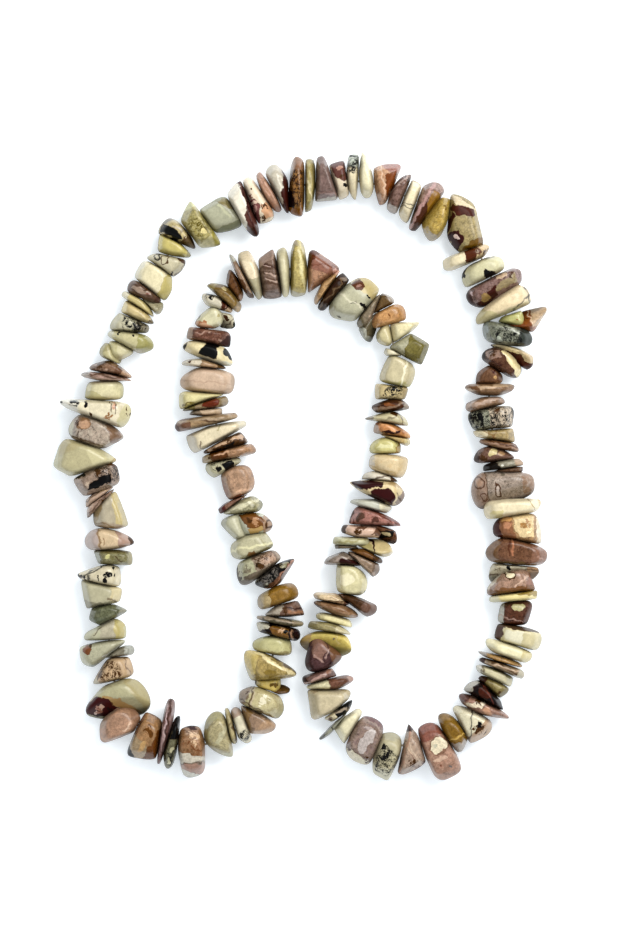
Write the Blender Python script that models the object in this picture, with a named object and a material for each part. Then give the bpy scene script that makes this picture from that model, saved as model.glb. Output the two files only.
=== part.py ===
"""A necklace of tumbled stone chips on one endless thread, lying flat with its lower end turned in.

A chip is held by the hole through it. Neighbours that press on each other are one solid here, and a small
gap parts one such run from the next. All numbers in the tables are millimetres.
"""

import math

import bmesh
import bpy
from mathutils import Vector
from mathutils.geometry import convex_hull_2d

MM = 0.001

# The middle of the whole outline, which is put over the origin.
CENTRE = Vector((-0.14, -0.3))

# The thread and the hole it runs in.
THREAD_HEIGHT = 4.6
THREAD_RADIUS = 0.28
THREAD_POINTS = 68
HOLE_RADIUS = 0.7

# How far neighbours in a run press into each other, and the gap between runs.
PRESS = 0.25
RUN_GAP = 0.3

# A chip's height follows its size across the thread, within these limits.
HEIGHT_SHARE = 0.9
LEAST_HEIGHT = 6.0
MOST_HEIGHT = 10.4
TOP_SHARE = 0.6
FOOT_SHARE = 0.5

# Corners kept in an outline, fewer on the small stones.
CORNERS_LARGE = 6
CORNERS_SMALL = 5
SMALL_AREA = 34.0

STEPS = 24
TANGENT_REACH = 1.5

# Where the thread runs, clockwise from the middle of the top, x then y.
ROUTE = [
    (0, 70), (15, 71), (27, 67), (40, 60.5), (46, 50), (51, 39), (50.5, 28), (47, 17), (48, 8),
    (51, -4), (54, -16), (53.5, -27), (53, -38), (50, -48.5), (44.5, -58.5), (35, -67), (22, -70),
    (12, -64), (7, -54), (7, -43), (11.5, -31), (14, -19), (19, -7), (22, 5), (23, 16), (24, 27),
    (19, 38), (10, 44.5), (-1, 49), (-12, 47.5), (-21, 41), (-24, 30), (-23.5, 17), (-18.5, 4),
    (-14, -9), (-11, -21), (-7, -32), (-6.5, -43), (-9, -55), (-15, -65), (-26, -70), (-39, -66.5),
    (-46, -56), (-48, -44), (-48, -31), (-48, -18), (-50, -6), (-50.5, 7), (-48.5, 19), (-44, 31),
    (-39, 42), (-33, 53), (-24, 61.5), (-12, 66),
]

# Colour and roughness of each kind of stone, and of the thread.
STONES = {
    "cream": ((0.74, 0.68, 0.48), 0.28),
    "sand": ((0.62, 0.52, 0.34), 0.30),
    "tan": ((0.44, 0.31, 0.19), 0.30),
    "khaki": ((0.42, 0.36, 0.18), 0.30),
    "olive": ((0.38, 0.37, 0.21), 0.28),
    "moss": ((0.19, 0.17, 0.07), 0.30),
    "honey": ((0.27, 0.15, 0.04), 0.26),
    "rust": ((0.30, 0.14, 0.06), 0.28),
    "brick": ((0.22, 0.10, 0.07), 0.30),
    "rose": ((0.40, 0.25, 0.18), 0.30),
    "mauve": ((0.25, 0.18, 0.14), 0.30),
    "brown": ((0.15, 0.07, 0.04), 0.28),
    "umber": ((0.06, 0.03, 0.02), 0.26),
    "slate": ((0.12, 0.14, 0.11), 0.28),
}
THREAD_COLOUR = (0.55, 0.50, 0.42)
THREAD_ROUGHNESS = 0.8

# Runs in order along the thread. A chip is its outline seen from above, each corner as how far along the
# thread and how far across it, the outer side positive.
RUNS = [
    ("khaki", [
        [(-1.3, 5.5), (-0.2, 7.3), (0.8, 7), (1.6, 5.5), (1, 0), (-0.5, -6), (-1.3, -7.6), (-4, -6.8),
         (-5.2, -5), (-3.3, -0.5)],
        [(1.9, 6.3), (4.1, 6.3), (3.3, -1), (1.6, -6.3), (-0.3, -6.8), (0.4, -3)],
        [(4.7, 6.2), (6.2, 6.6), (6.8, 5.5), (9.1, -3.6), (8.6, -4.8), (3, -4.6), (3.6, -1)],
        [(7.4, 4.1), (8.8, 4.9), (11.3, 5.1), (11.6, 0), (12.5, -3), (11.5, -4.3), (9.3, -4.7),
         (8.2, -0.5)],
    ]),
    ("cream", [
        [(11.9, 6.2), (13, 6.7), (14.2, 6.4), (14.5, -1), (14.2, -4.7), (12.9, -4), (11.3, 0), (11.6, 4)],
        [(14.5, 7.2), (15.3, 7), (17.2, 3), (18.6, -1), (18.3, -3.6), (16.5, -4), (15.2, -2.5), (14.3, 2)],
        [(17.5, 3.7), (19, 5.2), (22.4, 6.7), (23.2, 6), (22.7, 0), (23, -3.5), (21.5, -4.6), (18.6, -0.5)],
    ]),
    ("mauve", [
        [(23.2, 1.5), (24.2, 4), (26, 5.5), (26.7, 5), (26.4, 0), (26.7, -4.8), (25, -5.3), (23.6, -4.5),
         (23, -1)],
        [(26.7, 4.2), (28, 4.5), (29.6, 3.8), (30, 0), (29.8, -6.2), (28, -6), (26.8, -4.5), (26.4, 0)],
        [(29.9, 3.5), (31.2, 5.4), (33, 6.2), (34.9, 5.4), (35.6, 4), (33.8, -2), (33.2, -6.5),
         (31.2, -7.5), (30.4, -6.8), (30, 0)],
    ]),
    ("olive", [
        [(34.6, 3), (37.8, 3.9), (39.2, -1), (39.8, -5), (38.9, -7.2), (37.4, -8), (35.3, -7.2),
         (33.2, -4.8)],
        [(36.4, 4.4), (38.9, 5.8), (42, 5.8), (49.6, 1.8), (49.1, -4.6), (40.6, -4.6), (38.8, -1)],
        [(49.4, 2), (50.9, 3), (52.6, 0.6), (52.5, -8), (51.6, -9.8), (49, -9), (48.5, -6)],
    ]),
    ("cream", [
        [(53, 2), (54.2, 4.2), (55.5, 4.7), (57.3, 4.2), (57.9, 3), (57.7, -2), (57.3, -6.9), (55, -7),
         (53.4, -5.5), (52.8, -2)],
        [(58.2, 5.3), (59.5, 7.3), (61, 7), (62.4, 5.8), (62.5, 1), (64.8, -5), (61.5, -8), (58.7, -7.8),
         (57.8, -6), (57.9, 0)],
        [(62.3, 4.8), (63.5, 6.5), (65.5, 7), (66.7, 6.3), (67.5, 1.5), (70.5, -6.8), (68.8, -7.7),
         (66.5, -7.2), (64.6, -5.3), (62.9, -1)],
    ]),
    ("slate", [
        [(67.6, 3.8), (70.3, 4.7), (70.9, 3.2), (69.6, -2), (68.3, -1)],
        [(67.5, 9.8), (68.1, 10.4), (72.2, 6.6), (71.3, 3.5), (70.4, -1.2), (69.6, -1.2), (67.6, 4.8)],
        [(71.2, 4.4), (72.4, 6.2), (73.6, 6.8), (75, 6), (75.8, 3), (76, -2.5), (75, -5), (72, -6),
         (70, -5.6), (69.4, -4.2), (70.6, -0.5)],
    ]),
    ("umber", [
        [(76, 4.2), (77, 7.4), (78.8, 8), (79.9, 6.8), (79.5, 4.5), (76.9, -1), (76.2, -3.5), (75.4, -1)],
        [(79.2, 4.6), (80.6, 5.7), (82.3, 5.2), (82.9, 2.5), (82.2, -1.5), (81, -4.6), (79.2, -5),
         (77.2, -3.6), (76.5, -1.2), (77.6, 2.3)],
        [(81.9, -0.4), (83, 1.6), (84.3, 2.1), (85.8, 1), (87.2, -3.9), (85, -4.5), (83.2, -3.8),
         (81.6, -2.4)],
    ]),
    ("tan", [
        [(84.1, 5.4), (86.2, 5.2), (88.9, 1.5), (89.1, -3), (88.4, -6.5), (87.5, -5.8), (85.6, 0)],
        [(88.5, 2.3), (89.4, 4.1), (91.2, 4), (91.8, 1), (92.8, -4), (92, -5.8), (90.8, -5.4),
         (89.3, -1.5)],
        [(91.6, 5.3), (93.2, 6.2), (96, 5.7), (97.8, 5), (97.5, 0), (96.8, -4.2), (94.2, -5.4),
         (92.5, -4.8), (91.7, 0)],
    ]),
    ("khaki", [
        [(98, 5.2), (100.5, 5.3), (101.9, 4.9), (100, 0), (98.6, -4), (97.6, -4.8), (96.7, -4.5),
         (97.3, 0)],
        [(102.1, 4.7), (103.8, 5.4), (104.5, 4.8), (103.2, 1.8), (101.5, -1.6), (100, -3.8), (99.2, -3.2),
         (99.8, -0.5)],
        [(105.6, 3.7), (106.1, 2.9), (105.5, -0.5), (104.9, -4.8), (104, -6.2), (102.9, -6), (101.6, -4.4),
         (101.2, -1.8), (102.6, 1.2)],
        [(105.7, 4.2), (107.1, 5.6), (108.3, 5.3), (107.7, -0.5), (107, -4.6), (105.6, -4.2), (105.1, -1)],
    ]),
    ("mauve", [
        [(108.3, 5.3), (109.6, 5), (109, 1), (107.7, -2), (107.4, 0.5)],
        [(109.9, 5.6), (111, 6.9), (112.8, 7.2), (114.8, 6.7), (116.3, 5.2), (115.2, -1), (116.3, -7.4),
         (114.2, -8.8), (112, -9), (109, -7.9), (107.2, -5.5), (107.4, -2.6)],
        [(117.2, 6.8), (118.4, 7.3), (119.7, 6), (120.5, 4.6), (119.3, -2), (119.9, -6), (118, -7.3),
         (115.6, -6.9), (114.4, -5.5), (115.2, -1), (116.6, 4.6)],
    ]),
    ("brown", [
        [(120.2, 4.8), (122, 5.8), (125, 6.1), (127, 5.8), (125.6, 2), (125.2, -5.6), (122.8, -6.1),
         (120.8, -5.6), (119, -3.2), (118.9, 0)],
        [(127.2, 5.5), (128, 7.2), (129.5, 7.7), (131.2, 7), (132, 5.2), (132, 0), (132.1, -6),
         (130.5, -7.8), (128.5, -7.7), (126.8, -6.5), (125.2, -4.5), (124.9, -2)],
        [(132.2, 5.2), (134, 6), (135.8, 5.2), (136.2, 1), (136.8, -5), (136.4, -6.6), (133.3, -6.6),
         (132.1, -5.6)],
        [(136.2, 4.6), (138.6, 5.2), (138.8, 1), (140.2, -6), (139.2, -7), (137.4, -6.6), (134.2, -3),
         (132.9, 2.8)],
    ]),
    ("tan", [
        [(138.4, 5.4), (139.4, 5.7), (140.6, 5.2), (140.9, 2), (141.2, -2), (141.9, -5.6), (140.8, -6.4),
         (140, -5.8), (138.7, 1)],
        [(140.9, 3.5), (141.9, 4.6), (146.3, 3.7), (147.2, 1), (147.3, -3.3), (145.6, -3.8), (142, -3),
         (141, 0)],
    ]),
    ("cream", [
        [(147.1, 5), (147.5, 7.2), (148.6, 8.3), (150.6, 8.2), (152, 7), (151.9, 4), (151.5, 0),
         (152.2, -3), (149.8, -3.6), (147.6, -3.2), (147, 0)],
        [(152.2, 6.4), (153.6, 7), (154.9, 5.8), (155.3, 1), (155.4, -2), (154.4, -4.5), (153, -5.3),
         (152.1, -4.8), (151.4, 0)],
        [(155.1, 4), (155.7, 5.6), (156.2, 5.3), (156.9, 1), (157.2, -4), (156.7, -6), (156.2, -5.6),
         (155.2, 0)],
    ]),
    ("mauve", [
        [(156.6, 6), (157.3, 7), (158.6, 6.8), (159, 5), (158.8, 0), (159.2, -4.4), (158, -5), (157.3, -4),
         (156.7, 1)],
        [(159, 4.4), (160.4, 5), (161.8, 4.8), (161.5, 0), (162.2, -3.5), (161, -4.9), (160, -5),
         (159.4, -3.8), (158.6, 0)],
        [(161.7, 4.7), (162.6, 5), (164.6, 3.9), (164.5, 1), (163.6, -3.2), (162, -2.8), (161.1, 0)],
    ]),
    ("umber", [
        [(164.4, 3.6), (166.6, 6.8), (167.2, 4), (167.1, 1), (167.4, -2.5), (169, -4.3), (166.5, -4.8),
         (164.6, -4), (163.4, -2.6), (163.8, 0.5)],
        [(166.5, 7.8), (166.9, 8.8), (167.7, 7.6), (170.5, 2), (171.3, -2.2), (170.9, -3.6), (170, -4.5),
         (168.8, -3.6), (166.7, 0.5)],
        [(169.6, 5.2), (170.6, 7), (172.4, 7.5), (175, 6.8), (177, 5.6), (175.5, 3.6), (175.4, -2.6),
         (174, -3.4), (172.6, -3.2), (170.6, 0)],
    ]),
    ("honey", [
        [(175.2, 4.2), (176.9, 5.4), (178.4, 6.5), (179.4, 6), (179.8, 3), (179.9, -1), (179, -4),
         (177.8, -4.3), (176.2, -3.4), (175.2, 0)],
        [(179.8, 8), (180.2, 10.3), (182, 11.1), (184.6, 10.7), (185.4, 9), (186.3, 0), (185.8, -3),
         (183.6, -3.9), (181.4, -3.4), (180, -1.5)],
        [(186, 5), (187.5, 6), (191.2, 7.3), (192, 6.6), (189, -3.5), (188, -5), (186, -1)],
    ]),
    ("cream", [
        [(193.1, 7), (193.5, 8.8), (195.8, 7.6), (196.5, 5), (197, 1), (196.9, -2.4), (194.6, -3.3),
         (192.6, -3.3), (191, -2), (190.9, 0.5), (192, 4)],
        [(196.7, 5.8), (198.4, 7), (201, 6.9), (202.4, 5.5), (204, 1), (204.3, -3.5), (202.4, -4.8),
         (198, -4.9), (196.3, -3.2), (196.4, 0)],
        [(202.9, 5), (205, 4.5), (207.4, 3.8), (207.5, 0), (207.2, -3.4), (206, -4.2), (204.6, -3.4),
         (203.8, 0)],
    ]),
    ("sand", [
        [(206.2, 5), (206.9, 8.5), (207.3, 8.4), (207.9, 3), (208.1, -1), (207.4, -1.5)],
        [(208.1, 3.2), (209, 4.2), (209.9, 4.6), (210.2, 1), (210.6, -2.4), (210.2, -3.8), (209.3, -3.3),
         (207.9, -1.2)],
        [(210.3, 6.5), (210.9, 7.3), (215.4, 5.8), (216.5, 5.6), (215, 0), (213.6, -4), (212.4, -4.3),
         (210.9, -3), (209.9, 1)],
    ]),
    ("umber", [
        [(216.6, 5.8), (217.6, 5.6), (218, 0), (218, -4.6), (217, -6.1), (215.6, -6), (214.9, -4),
         (214.7, -1)],
        [(217.6, 5.9), (218.6, 6.5), (219.4, 6), (219.9, 3.4), (220.6, -1), (219.2, -2), (218.1, -2.2),
         (217.8, 0)],
        [(219.9, 3.4), (220.6, 4.9), (222, 5.5), (224, 4.8), (227.8, 4.2), (228.2, 3), (225.8, -1),
         (223.6, -3.8), (221.8, -2.8), (220.2, 0)],
        [(224.2, 5.3), (226.2, 7), (227.6, 6.2), (229.6, 2.4), (230.9, -1.6), (230.6, -3.4), (228.8, -5.2),
         (226, -6.1), (223.8, -5.2), (223, -3.8)],
    ]),
    ("olive", [
        [(228.6, 5.4), (229.6, 5.9), (230.8, 5.4), (231.4, 3), (232.3, 0), (231.6, -4), (230.2, -5.6),
         (229.6, -5.2), (230.2, 0)],
        [(231.3, 3.5), (232, 4.8), (233, 4.5), (234, 2), (234.6, -3), (233.4, -4.6), (232.2, -4.4),
         (231.7, 0)],
        [(234.1, 5), (234.6, 6.6), (235.4, 6.3), (236.6, 3), (237.4, -1), (237, -4), (236, -5), (235, -3.8),
         (234, 0)],
    ]),
    ("umber", [
        [(235.8, 6.4), (236.6, 7.5), (237.6, 6.9), (239.2, 2.4), (239.3, 0.4), (238.2, -1.8), (237.1, -1),
         (236.3, 3)],
        [(238.4, 1.6), (239.4, 1.8), (240.2, 0), (240.2, -4), (239.9, -8), (239, -8.8), (237.8, -8.4),
         (236.3, -6), (237.3, -2)],
        [(239.4, 1.8), (240, 2.4), (244, 3.6), (247, 3.8), (248.3, 3), (247.5, 0), (246, -3.3),
         (244.2, -4.6), (241.6, -4.8), (240.1, -3)],
    ]),
    ("mauve", [
        [(245.2, 4), (246, 6.4), (247, 7), (248.3, 6.2), (250.2, 2.8), (249.4, 0), (247.2, -3.6),
         (246.2, -3.8)],
        [(249.2, 1), (250.3, 1.6), (250.8, 0.3), (249.8, -3), (248.8, -6.4), (247.2, -7.1), (246, -6.6),
         (245, -5.2), (246.6, -3.6)],
        [(250.6, 1.6), (252, 1), (252.4, -1.2), (251.4, -3.6), (250.8, -6.6), (249.6, -7.4), (249, -6.9),
         (249.6, -3)],
    ]),
    ("olive", [
        [(249.9, 4.4), (250.6, 4.9), (251.3, 5.2), (252.4, 1), (251.9, -0.8), (250.8, 0)],
        [(251.1, 5.2), (252, 5.9), (253, 5.6), (253.8, 3), (255, -1), (255.2, -2.2), (253.4, -3), (252, 0)],
        [(252.7, 1.2), (253.9, 0.4), (256.1, -5), (256.3, -6.4), (255.4, -8.2), (253.6, -9.5), (252, -9.1),
         (251, -7.4), (251.3, -4)],
    ]),
    ("brick", [
        [(254.2, 4.2), (254.9, 4.8), (256, 4.4), (257.6, -1), (258.5, -3), (257.6, -5), (256, -4.6),
         (254.4, -0.6)],
        [(256.6, 0.8), (258.2, 0.6), (259.4, -4), (259.9, -7.9), (258.4, -9.2), (255.9, -9.2),
         (255.4, -6.5), (255.6, -3)],
        [(256.4, 3.4), (257.6, 3.9), (260.8, 3.8), (262, 2.8), (262.4, -2), (262.2, -7), (261.6, -8.6),
         (260.9, -8.4), (259, -3.6)],
    ]),
    ("olive", [
        [(261.2, 4.8), (262, 5.5), (263, 4.6), (264.4, 1), (265.3, -1), (265, -4.2), (264, -4.7),
         (262.4, -3.4), (262.2, 0)],
        [(264.9, 2.2), (266.1, 6), (266.9, 7.4), (267.6, 6.2), (269.2, 2), (270.2, 0), (270.5, -2.4),
         (269.9, -4.8), (268.4, -6.6), (267.3, -6.8), (265.2, -5.6), (264.6, -4.2)],
    ]),
    ("cream", [
        [(268.3, 4.7), (269.4, 4.8), (270.7, 4.2), (271.9, 1.8), (271.9, -1), (270.9, -4), (270.2, -4.3),
         (269.8, 0)],
        [(271.4, 3), (272, 3.9), (275.4, 4.1), (276.3, 2.8), (276.9, -2), (276.7, -5), (274.6, -5.6),
         (272, -5.2), (271.1, -4.4)],
        [(275.8, 4), (277, 4.7), (278.6, 4.4), (280, 3), (281, 0), (280.8, -2.3), (278.5, -3.2),
         (277.4, -3.2), (276.5, 0)],
    ]),
    ("rust", [
        [(280.2, 2.8), (281.2, 2.6), (281.6, -1), (281, -4.8), (280, -5.3), (279, -4), (278.6, -3.2),
         (280.3, 0)],
        [(281, 3.9), (282.6, 4.4), (284.4, 3.7), (285, 2.6), (284.4, 0), (283, -3.5), (282.2, -4.8),
         (280.7, -5.2), (281.1, -1)],
        [(284.2, 5), (284.8, 6.9), (285.3, 6.5), (286.6, 3), (287.5, 0), (286.8, -2), (286, -3.4),
         (284, -4.3), (283.5, -3), (284.2, 0)],
    ]),
    ("tan", [
        [(286.6, 3.4), (287.4, 5), (288.4, 5.2), (289.2, 3.8), (290.5, 0.5), (290.6, -2), (289.6, -3.6),
         (288.6, -4.3), (287.8, -3.4), (287.2, 0)],
        [(289.8, 4.4), (291, 4.8), (293.4, 5), (293.9, 3), (294.2, 0), (294.3, -3.4), (292, -2.6),
         (290.4, -2.9)],
        [(294, 3), (294.6, 4.2), (296.4, 4.4), (300.2, 3.2), (301.8, 2.2), (301.4, 0), (299.4, -3.4),
         (297.8, -4.5), (295.6, -4.2), (293.6, -3.2)],
    ]),
    ("moss", [
        [(301.7, 2.3), (302.9, 3), (304, 2.1), (302.6, -0.8), (301, -1.2)],
        [(303, 1.5), (304.2, 0.8), (305, -2.5), (305.3, -5), (303.6, -7), (302.2, -8.6), (301.2, -7.8),
         (299, -5.8), (299, -4.4), (301.6, -0.4)],
        [(304.3, 1.4), (305.6, 3.1), (307, 3.5), (308.7, 2.9), (309.8, 0.8), (309.4, -1), (305.2, -0.6)],
        [(304.6, 0.5), (309.2, -0.7), (309, -2), (307.4, -6.5), (306.7, -8), (306, -7), (305.3, -4)],
    ]),
    ("tan", [
        [(309.8, 2.2), (311.4, 2.8), (312.8, 2), (313.3, -0.5), (312.6, -4.6), (311.5, -6.2), (310.4, -6.4),
         (308.3, -5.2), (308.4, -4.4), (309.6, 0)],
        [(307.4, 4.7), (308.2, 6), (310.2, 6.4), (313.1, 5.8), (313.5, -1), (312.6, -1.2)],
        [(312.4, 4.5), (313.2, 5.8), (315.4, 5.2), (316.2, 3), (316.3, -1), (315.9, -3.9), (314.9, -3.6),
         (313.2, 0.5)],
        [(313.3, 1), (314.6, 0.4), (315.9, -4.2), (314.6, -5.2), (313.4, -5.6), (312.6, -5.1), (312.9, -1)],
    ]),
    ("olive", [
        [(316.1, 5.2), (318, 6.4), (320, 7), (322.5, 7.6), (324.2, 6.4), (325, 4), (324.6, 1.5),
         (322.4, -3.6), (320.4, -5.3), (316.2, -4.6), (316, 0)],
        [(324.6, 6.4), (326.4, 7.5), (327.4, 6.8), (327.2, 2), (326.8, -1), (325.8, -3.5), (324, -3),
         (322.9, -2.4), (324, 0)],
        [(327.4, 6.4), (328.4, 6.8), (329.3, 5.4), (329.1, 0), (328, -3.6), (326.2, -3.6), (326.7, 0)],
    ]),
    ("rose", [
        [(330.2, 4.6), (331.2, 5.2), (332.2, 3.8), (333.6, 0), (334.4, -4.8), (333.8, -5.8), (330, -5),
         (326.5, -4), (326.2, -3), (328.4, 0)],
        [(332, 5.4), (333, 6.2), (336, 6.8), (337.4, 6.4), (337.9, 2), (337.9, -5), (337.4, -7.2),
         (336.4, -7.4), (335.6, -6.4), (333.4, 0)],
        [(338, 6.4), (339.4, 7.2), (340.4, 6.8), (340.8, 3), (341.2, -1), (341, -4.4), (340.2, -5.4),
         (339, -5.2), (338.2, -2), (337.8, 3)],
    ]),
    ("mauve", [
        [(340.4, 6.6), (341.6, 7.1), (344, 7), (347.4, 6), (345.7, -0.5), (345.2, -3.2), (342.4, -4.9),
         (341.6, -5.2), (341, -2)],
        [(346.6, 5.4), (348, 6.2), (349, 6), (349.5, 2), (349.4, -4), (348.8, -6.2), (347.4, -6.6),
         (346.2, -6.2), (345.5, 0)],
        [(349.3, 4.8), (350.2, 5.2), (351.4, 4), (351.4, 0), (350.6, -6.2), (350.2, -7.3), (349.6, -6),
         (349.3, 0)],
    ]),
    ("honey", [
        [(351.4, 2.4), (352.8, 4), (354.2, 4.2), (354.4, 0), (354, -1.6), (352.2, -3.8), (351.6, -4),
         (351, -1)],
        [(354.2, 4.8), (355.8, 6), (357.4, 6), (358.8, 4.4), (357.8, 0), (358, -3.4), (357.6, -4.6),
         (356.4, -4.3), (354.1, -0.8)],
        [(356.8, 3.5), (358.2, 4.6), (359.8, 4.4), (360.3, 2.5), (360.4, 0), (360.9, -1.4), (359.8, -3.8),
         (358.8, -4), (358.2, -2.6), (357.2, 0.5)],
    ]),
    ("cream", [
        [(359.8, 4.9), (361, 5.9), (363, 6.7), (364.3, 6.1), (365, 3.8), (363.5, -1), (361.5, -1)],
        [(360, 2.2), (362, 3.4), (364.2, 3.2), (365.8, 1.4), (366.1, -1.4), (365.4, -3.4), (364.2, -3.2),
         (360.4, -0.8)],
        [(365.6, 4.8), (366.6, 6), (371, 6.3), (369.6, 4), (368.8, 0), (369.8, -4.6), (367.8, -4.9),
         (366.2, -4.4), (366, 0)],
    ]),
    ("cream", [
        [(370.2, 5), (372.6, 6.8), (375, 7.2), (375.5, 5.8), (374.8, 4.5), (373.8, 0), (372.4, -4),
         (371.2, -5.5), (369.8, -4.6), (368.7, -1)],
        [(375.2, 5.4), (376.4, 5.5), (376.2, 3), (375.7, 0), (375.6, -3.4), (375.1, -5.6), (374.4, -5.6),
         (373.8, -4), (373.5, 0)],
        [(377, 6), (378, 7.4), (380, 7.6), (383, 6.6), (383.7, 5.4), (382.4, 0), (381, -4.5), (379.9, -6.2),
         (378, -6), (376, -2.4), (375.5, 0)],
    ]),
    ("cream", [
        [(383.2, 4), (384.6, 4.4), (384.9, 1), (385.2, -6.6), (384, -7.3), (381.4, -6.6), (380.9, -5),
         (382.2, -0.5)],
        [(384, 4.4), (385.6, 5), (386.8, 4.2), (387, 2), (386.2, -1), (385.4, -5.8), (384.9, -6.8),
         (383.6, -5), (383.8, 0)],
        [(387, 2.8), (388.6, 2.6), (388.2, 0), (386.8, -2.6), (386, -5.4), (385.4, -4.4), (385.2, -3),
         (386.4, 0.5)],
        [(389, 5.2), (389.8, 5.8), (391, 5.6), (391, 4.4), (390.3, 0), (389.4, -5), (388.8, -9),
         (387.8, -9.9), (386.8, -9.2), (386.2, -7.2), (387.8, -1)],
    ]),
    ("cream", [
        [(392.2, 6.6), (393, 7), (393.9, 6.4), (394.6, 0), (395.1, -7.6), (393.4, -8.6), (391.6, -8.4),
         (390, -8), (390, -1)],
        [(394.4, 4.6), (395.6, 5.4), (397.8, 5.7), (397.1, 3), (396.7, 0), (396.4, -5.8), (395.2, -5.8),
         (394.4, 0)],
        [(397.8, 6), (399.2, 6.9), (400.4, 6.6), (400.7, 4), (399.8, 0), (399, -6.8), (397.4, -6.9),
         (396.6, -6.4), (396.6, -1)],
    ]),
    ("rose", [
        [(400.2, 2.4), (402, 2.4), (402.1, -2), (403.4, -4.6), (401.8, -6.4), (400, -6.8), (398.8, -6),
         (399, -1)],
        [(402.2, 2.4), (403.4, 3.8), (405.5, 4.1), (408.2, 3.4), (409.4, 2), (409.8, -3.6), (408, -4.2),
         (403.6, -4), (401.8, -3.2), (401.8, 0)],
        [(409.4, 1.4), (410.4, 0.8), (411, -3), (413, -5.8), (412.2, -7), (410.8, -7), (409.9, -5.2),
         (409.4, -2)],
    ]),
    ("olive", [
        [(410.1, 2.2), (411, 3.3), (412.6, 4.2), (413.8, 3.4), (414.4, 1.8), (413.9, -1.4), (413.4, -4.6),
         (412.4, -6), (410.8, -5), (410.1, -2)],
        [(414.8, 3.2), (416.5, 4.8), (418, 5.4), (419.6, 4.4), (420, 3), (419.3, -2.4), (417.6, -1.8),
         (413.8, -3), (413.7, 0)],
        [(414.4, 1), (418.6, 1), (419.9, -4.8), (418.2, -5.8), (416.3, -6.4), (415.2, -7.3), (414, -6.6),
         (413.4, -4)],
    ]),
    ("olive", [
        [(419.4, 3), (421.4, 3.8), (423.2, 4.3), (424.2, 3.2), (424.6, -1), (424.6, -4), (423.4, -6.4),
         (422, -6.6), (420.4, -5.6), (419.2, -2)],
        [(424.5, 3.8), (425.8, 4.9), (428.4, 4.9), (428.9, 0), (430.8, -3.4), (430.4, -6.6), (429, -7.2),
         (426.6, -6.8), (424.6, -5), (424.3, 0)],
        [(428.5, 5), (429, 7.8), (429.6, 7.8), (431.4, 5), (433.2, 2.4), (433.8, -0.6), (433, -2),
         (431.6, -3.6), (430.4, -3.2), (428.8, 0)],
    ]),
    ("honey", [
        [(433.6, 4.6), (434.4, 6), (436.4, 6.3), (437.2, 5.4), (438, 1), (438.9, -3), (438.2, -4.2),
         (436.2, -4.3), (434.6, -3.6), (433.5, 0)],
        [(437.6, 5.6), (439.6, 7), (440.8, 7.2), (441.1, 3), (441, -1), (440.6, -2.8), (439.8, -2.2),
         (438.1, 0.4)],
        [(441.7, 5.8), (442.4, 7), (443.2, 6.4), (443.4, 4), (443, 0), (441.9, -3), (441.4, -4.8),
         (440.4, -4.6), (440.6, -1)],
    ]),
    ("umber", [
        [(443.4, 5.2), (445, 6.3), (446.4, 6), (447.2, 4.6), (446.2, 2), (445.7, -0.5), (446, -3.4),
         (444.6, -3.4), (443.6, -4.8), (442.2, -4.8), (442.2, -1)],
        [(445.4, 3.4), (447.2, 4.4), (449.6, 4.6), (450.4, 3), (450.5, -1), (450.2, -4.6), (449, -5.5),
         (447.6, -5.3), (446.2, -3), (445.4, 0)],
        [(452.8, 5.4), (453.8, 6.7), (454.6, 6.2), (455.8, 4.4), (458.8, -3), (457.6, -4.6), (455.5, -6),
         (451.4, -7.1), (450.2, -6.4), (450.2, -2)],
    ]),
    ("khaki", [
        [(456.4, 3.5), (457.6, 3.7), (459.4, 3.4), (459.4, 0), (459.9, -2.4), (457.9, -2.8), (456.2, -0.5),
         (455.4, 2.8)],
        [(456.9, 4.8), (457.3, 6.3), (458.3, 6.2), (459.3, 4), (459, -0.8), (457.8, -0.8)],
        [(459.4, 4.2), (461, 6.2), (463, 6.8), (464.6, 6.2), (465.1, 3), (465, -1), (466, -3.4), (464, -5),
         (462.4, -5.2), (460.6, -4), (459.1, -2)],
        [(465.2, 6.4), (466.2, 7.1), (467.4, 6.4), (469.2, 4), (469.9, 2.8), (468.6, 0), (467, -2.6),
         (465.8, -3.2), (464.7, 0)],
    ]),
    ("olive", [
        [(470.2, 4), (470.8, 4.6), (472, 4.2), (472.6, 2), (472, -0.5), (470.4, -3.8), (469, -4.6),
         (467.4, -4.2), (467, -3), (468.4, 0)],
        [(473, 2.4), (473.8, 2.9), (474.4, 2), (473.6, -1), (472, -3.6), (471, -5.6), (470, -5.8),
         (469.6, -5), (471.5, -0.8)],
        [(475, 4.2), (475.7, 5.3), (476.6, 4.8), (478.6, 2.4), (480.3, -0.5), (480.2, -3), (478.4, -5.6),
         (476, -6.7), (473.6, -6.7), (472.2, -5.6), (472.3, -3.4)],
    ]),
    ("rust", [
        [(481.4, 6.4), (482.2, 7.4), (484.4, 8.1), (485.4, 7), (487.3, 0), (487.3, -3.6), (485.4, -4.8),
         (483, -5), (481, -4.4), (480.1, -1)],
        [(487.4, 5), (488.2, 6.6), (489.2, 6), (490.1, 3), (490.2, -1), (490, -5.6), (488.8, -7),
         (487.9, -6.6), (487.2, 0)],
        [(490, 5), (490.5, 6.1), (491.1, 5.2), (492.3, 0), (494.6, -7.4), (496, -9.8), (492.4, -10.5),
         (491.2, -9.6), (490, -5)],
    ]),
    ("honey", [
        [(491.4, 4.9), (492.6, 5.8), (496.2, 7.3), (496.8, 6.2), (498.9, -1), (500.2, -3.6), (498, -4.4),
         (494.4, -4.7), (492.8, -4), (491.7, 0)],
        [(500, 8.6), (500.7, 9.6), (501.4, 9.4), (503.8, 7), (504.6, 4), (504.4, 0), (503.4, -1.4),
         (500.4, -2), (499, -1.4), (498.1, 1.5)],
        [(503.9, 6.6), (505.6, 8.8), (507, 9.4), (508.2, 8.6), (510.7, 3), (511.1, -3.2), (509.6, -5.6),
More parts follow.
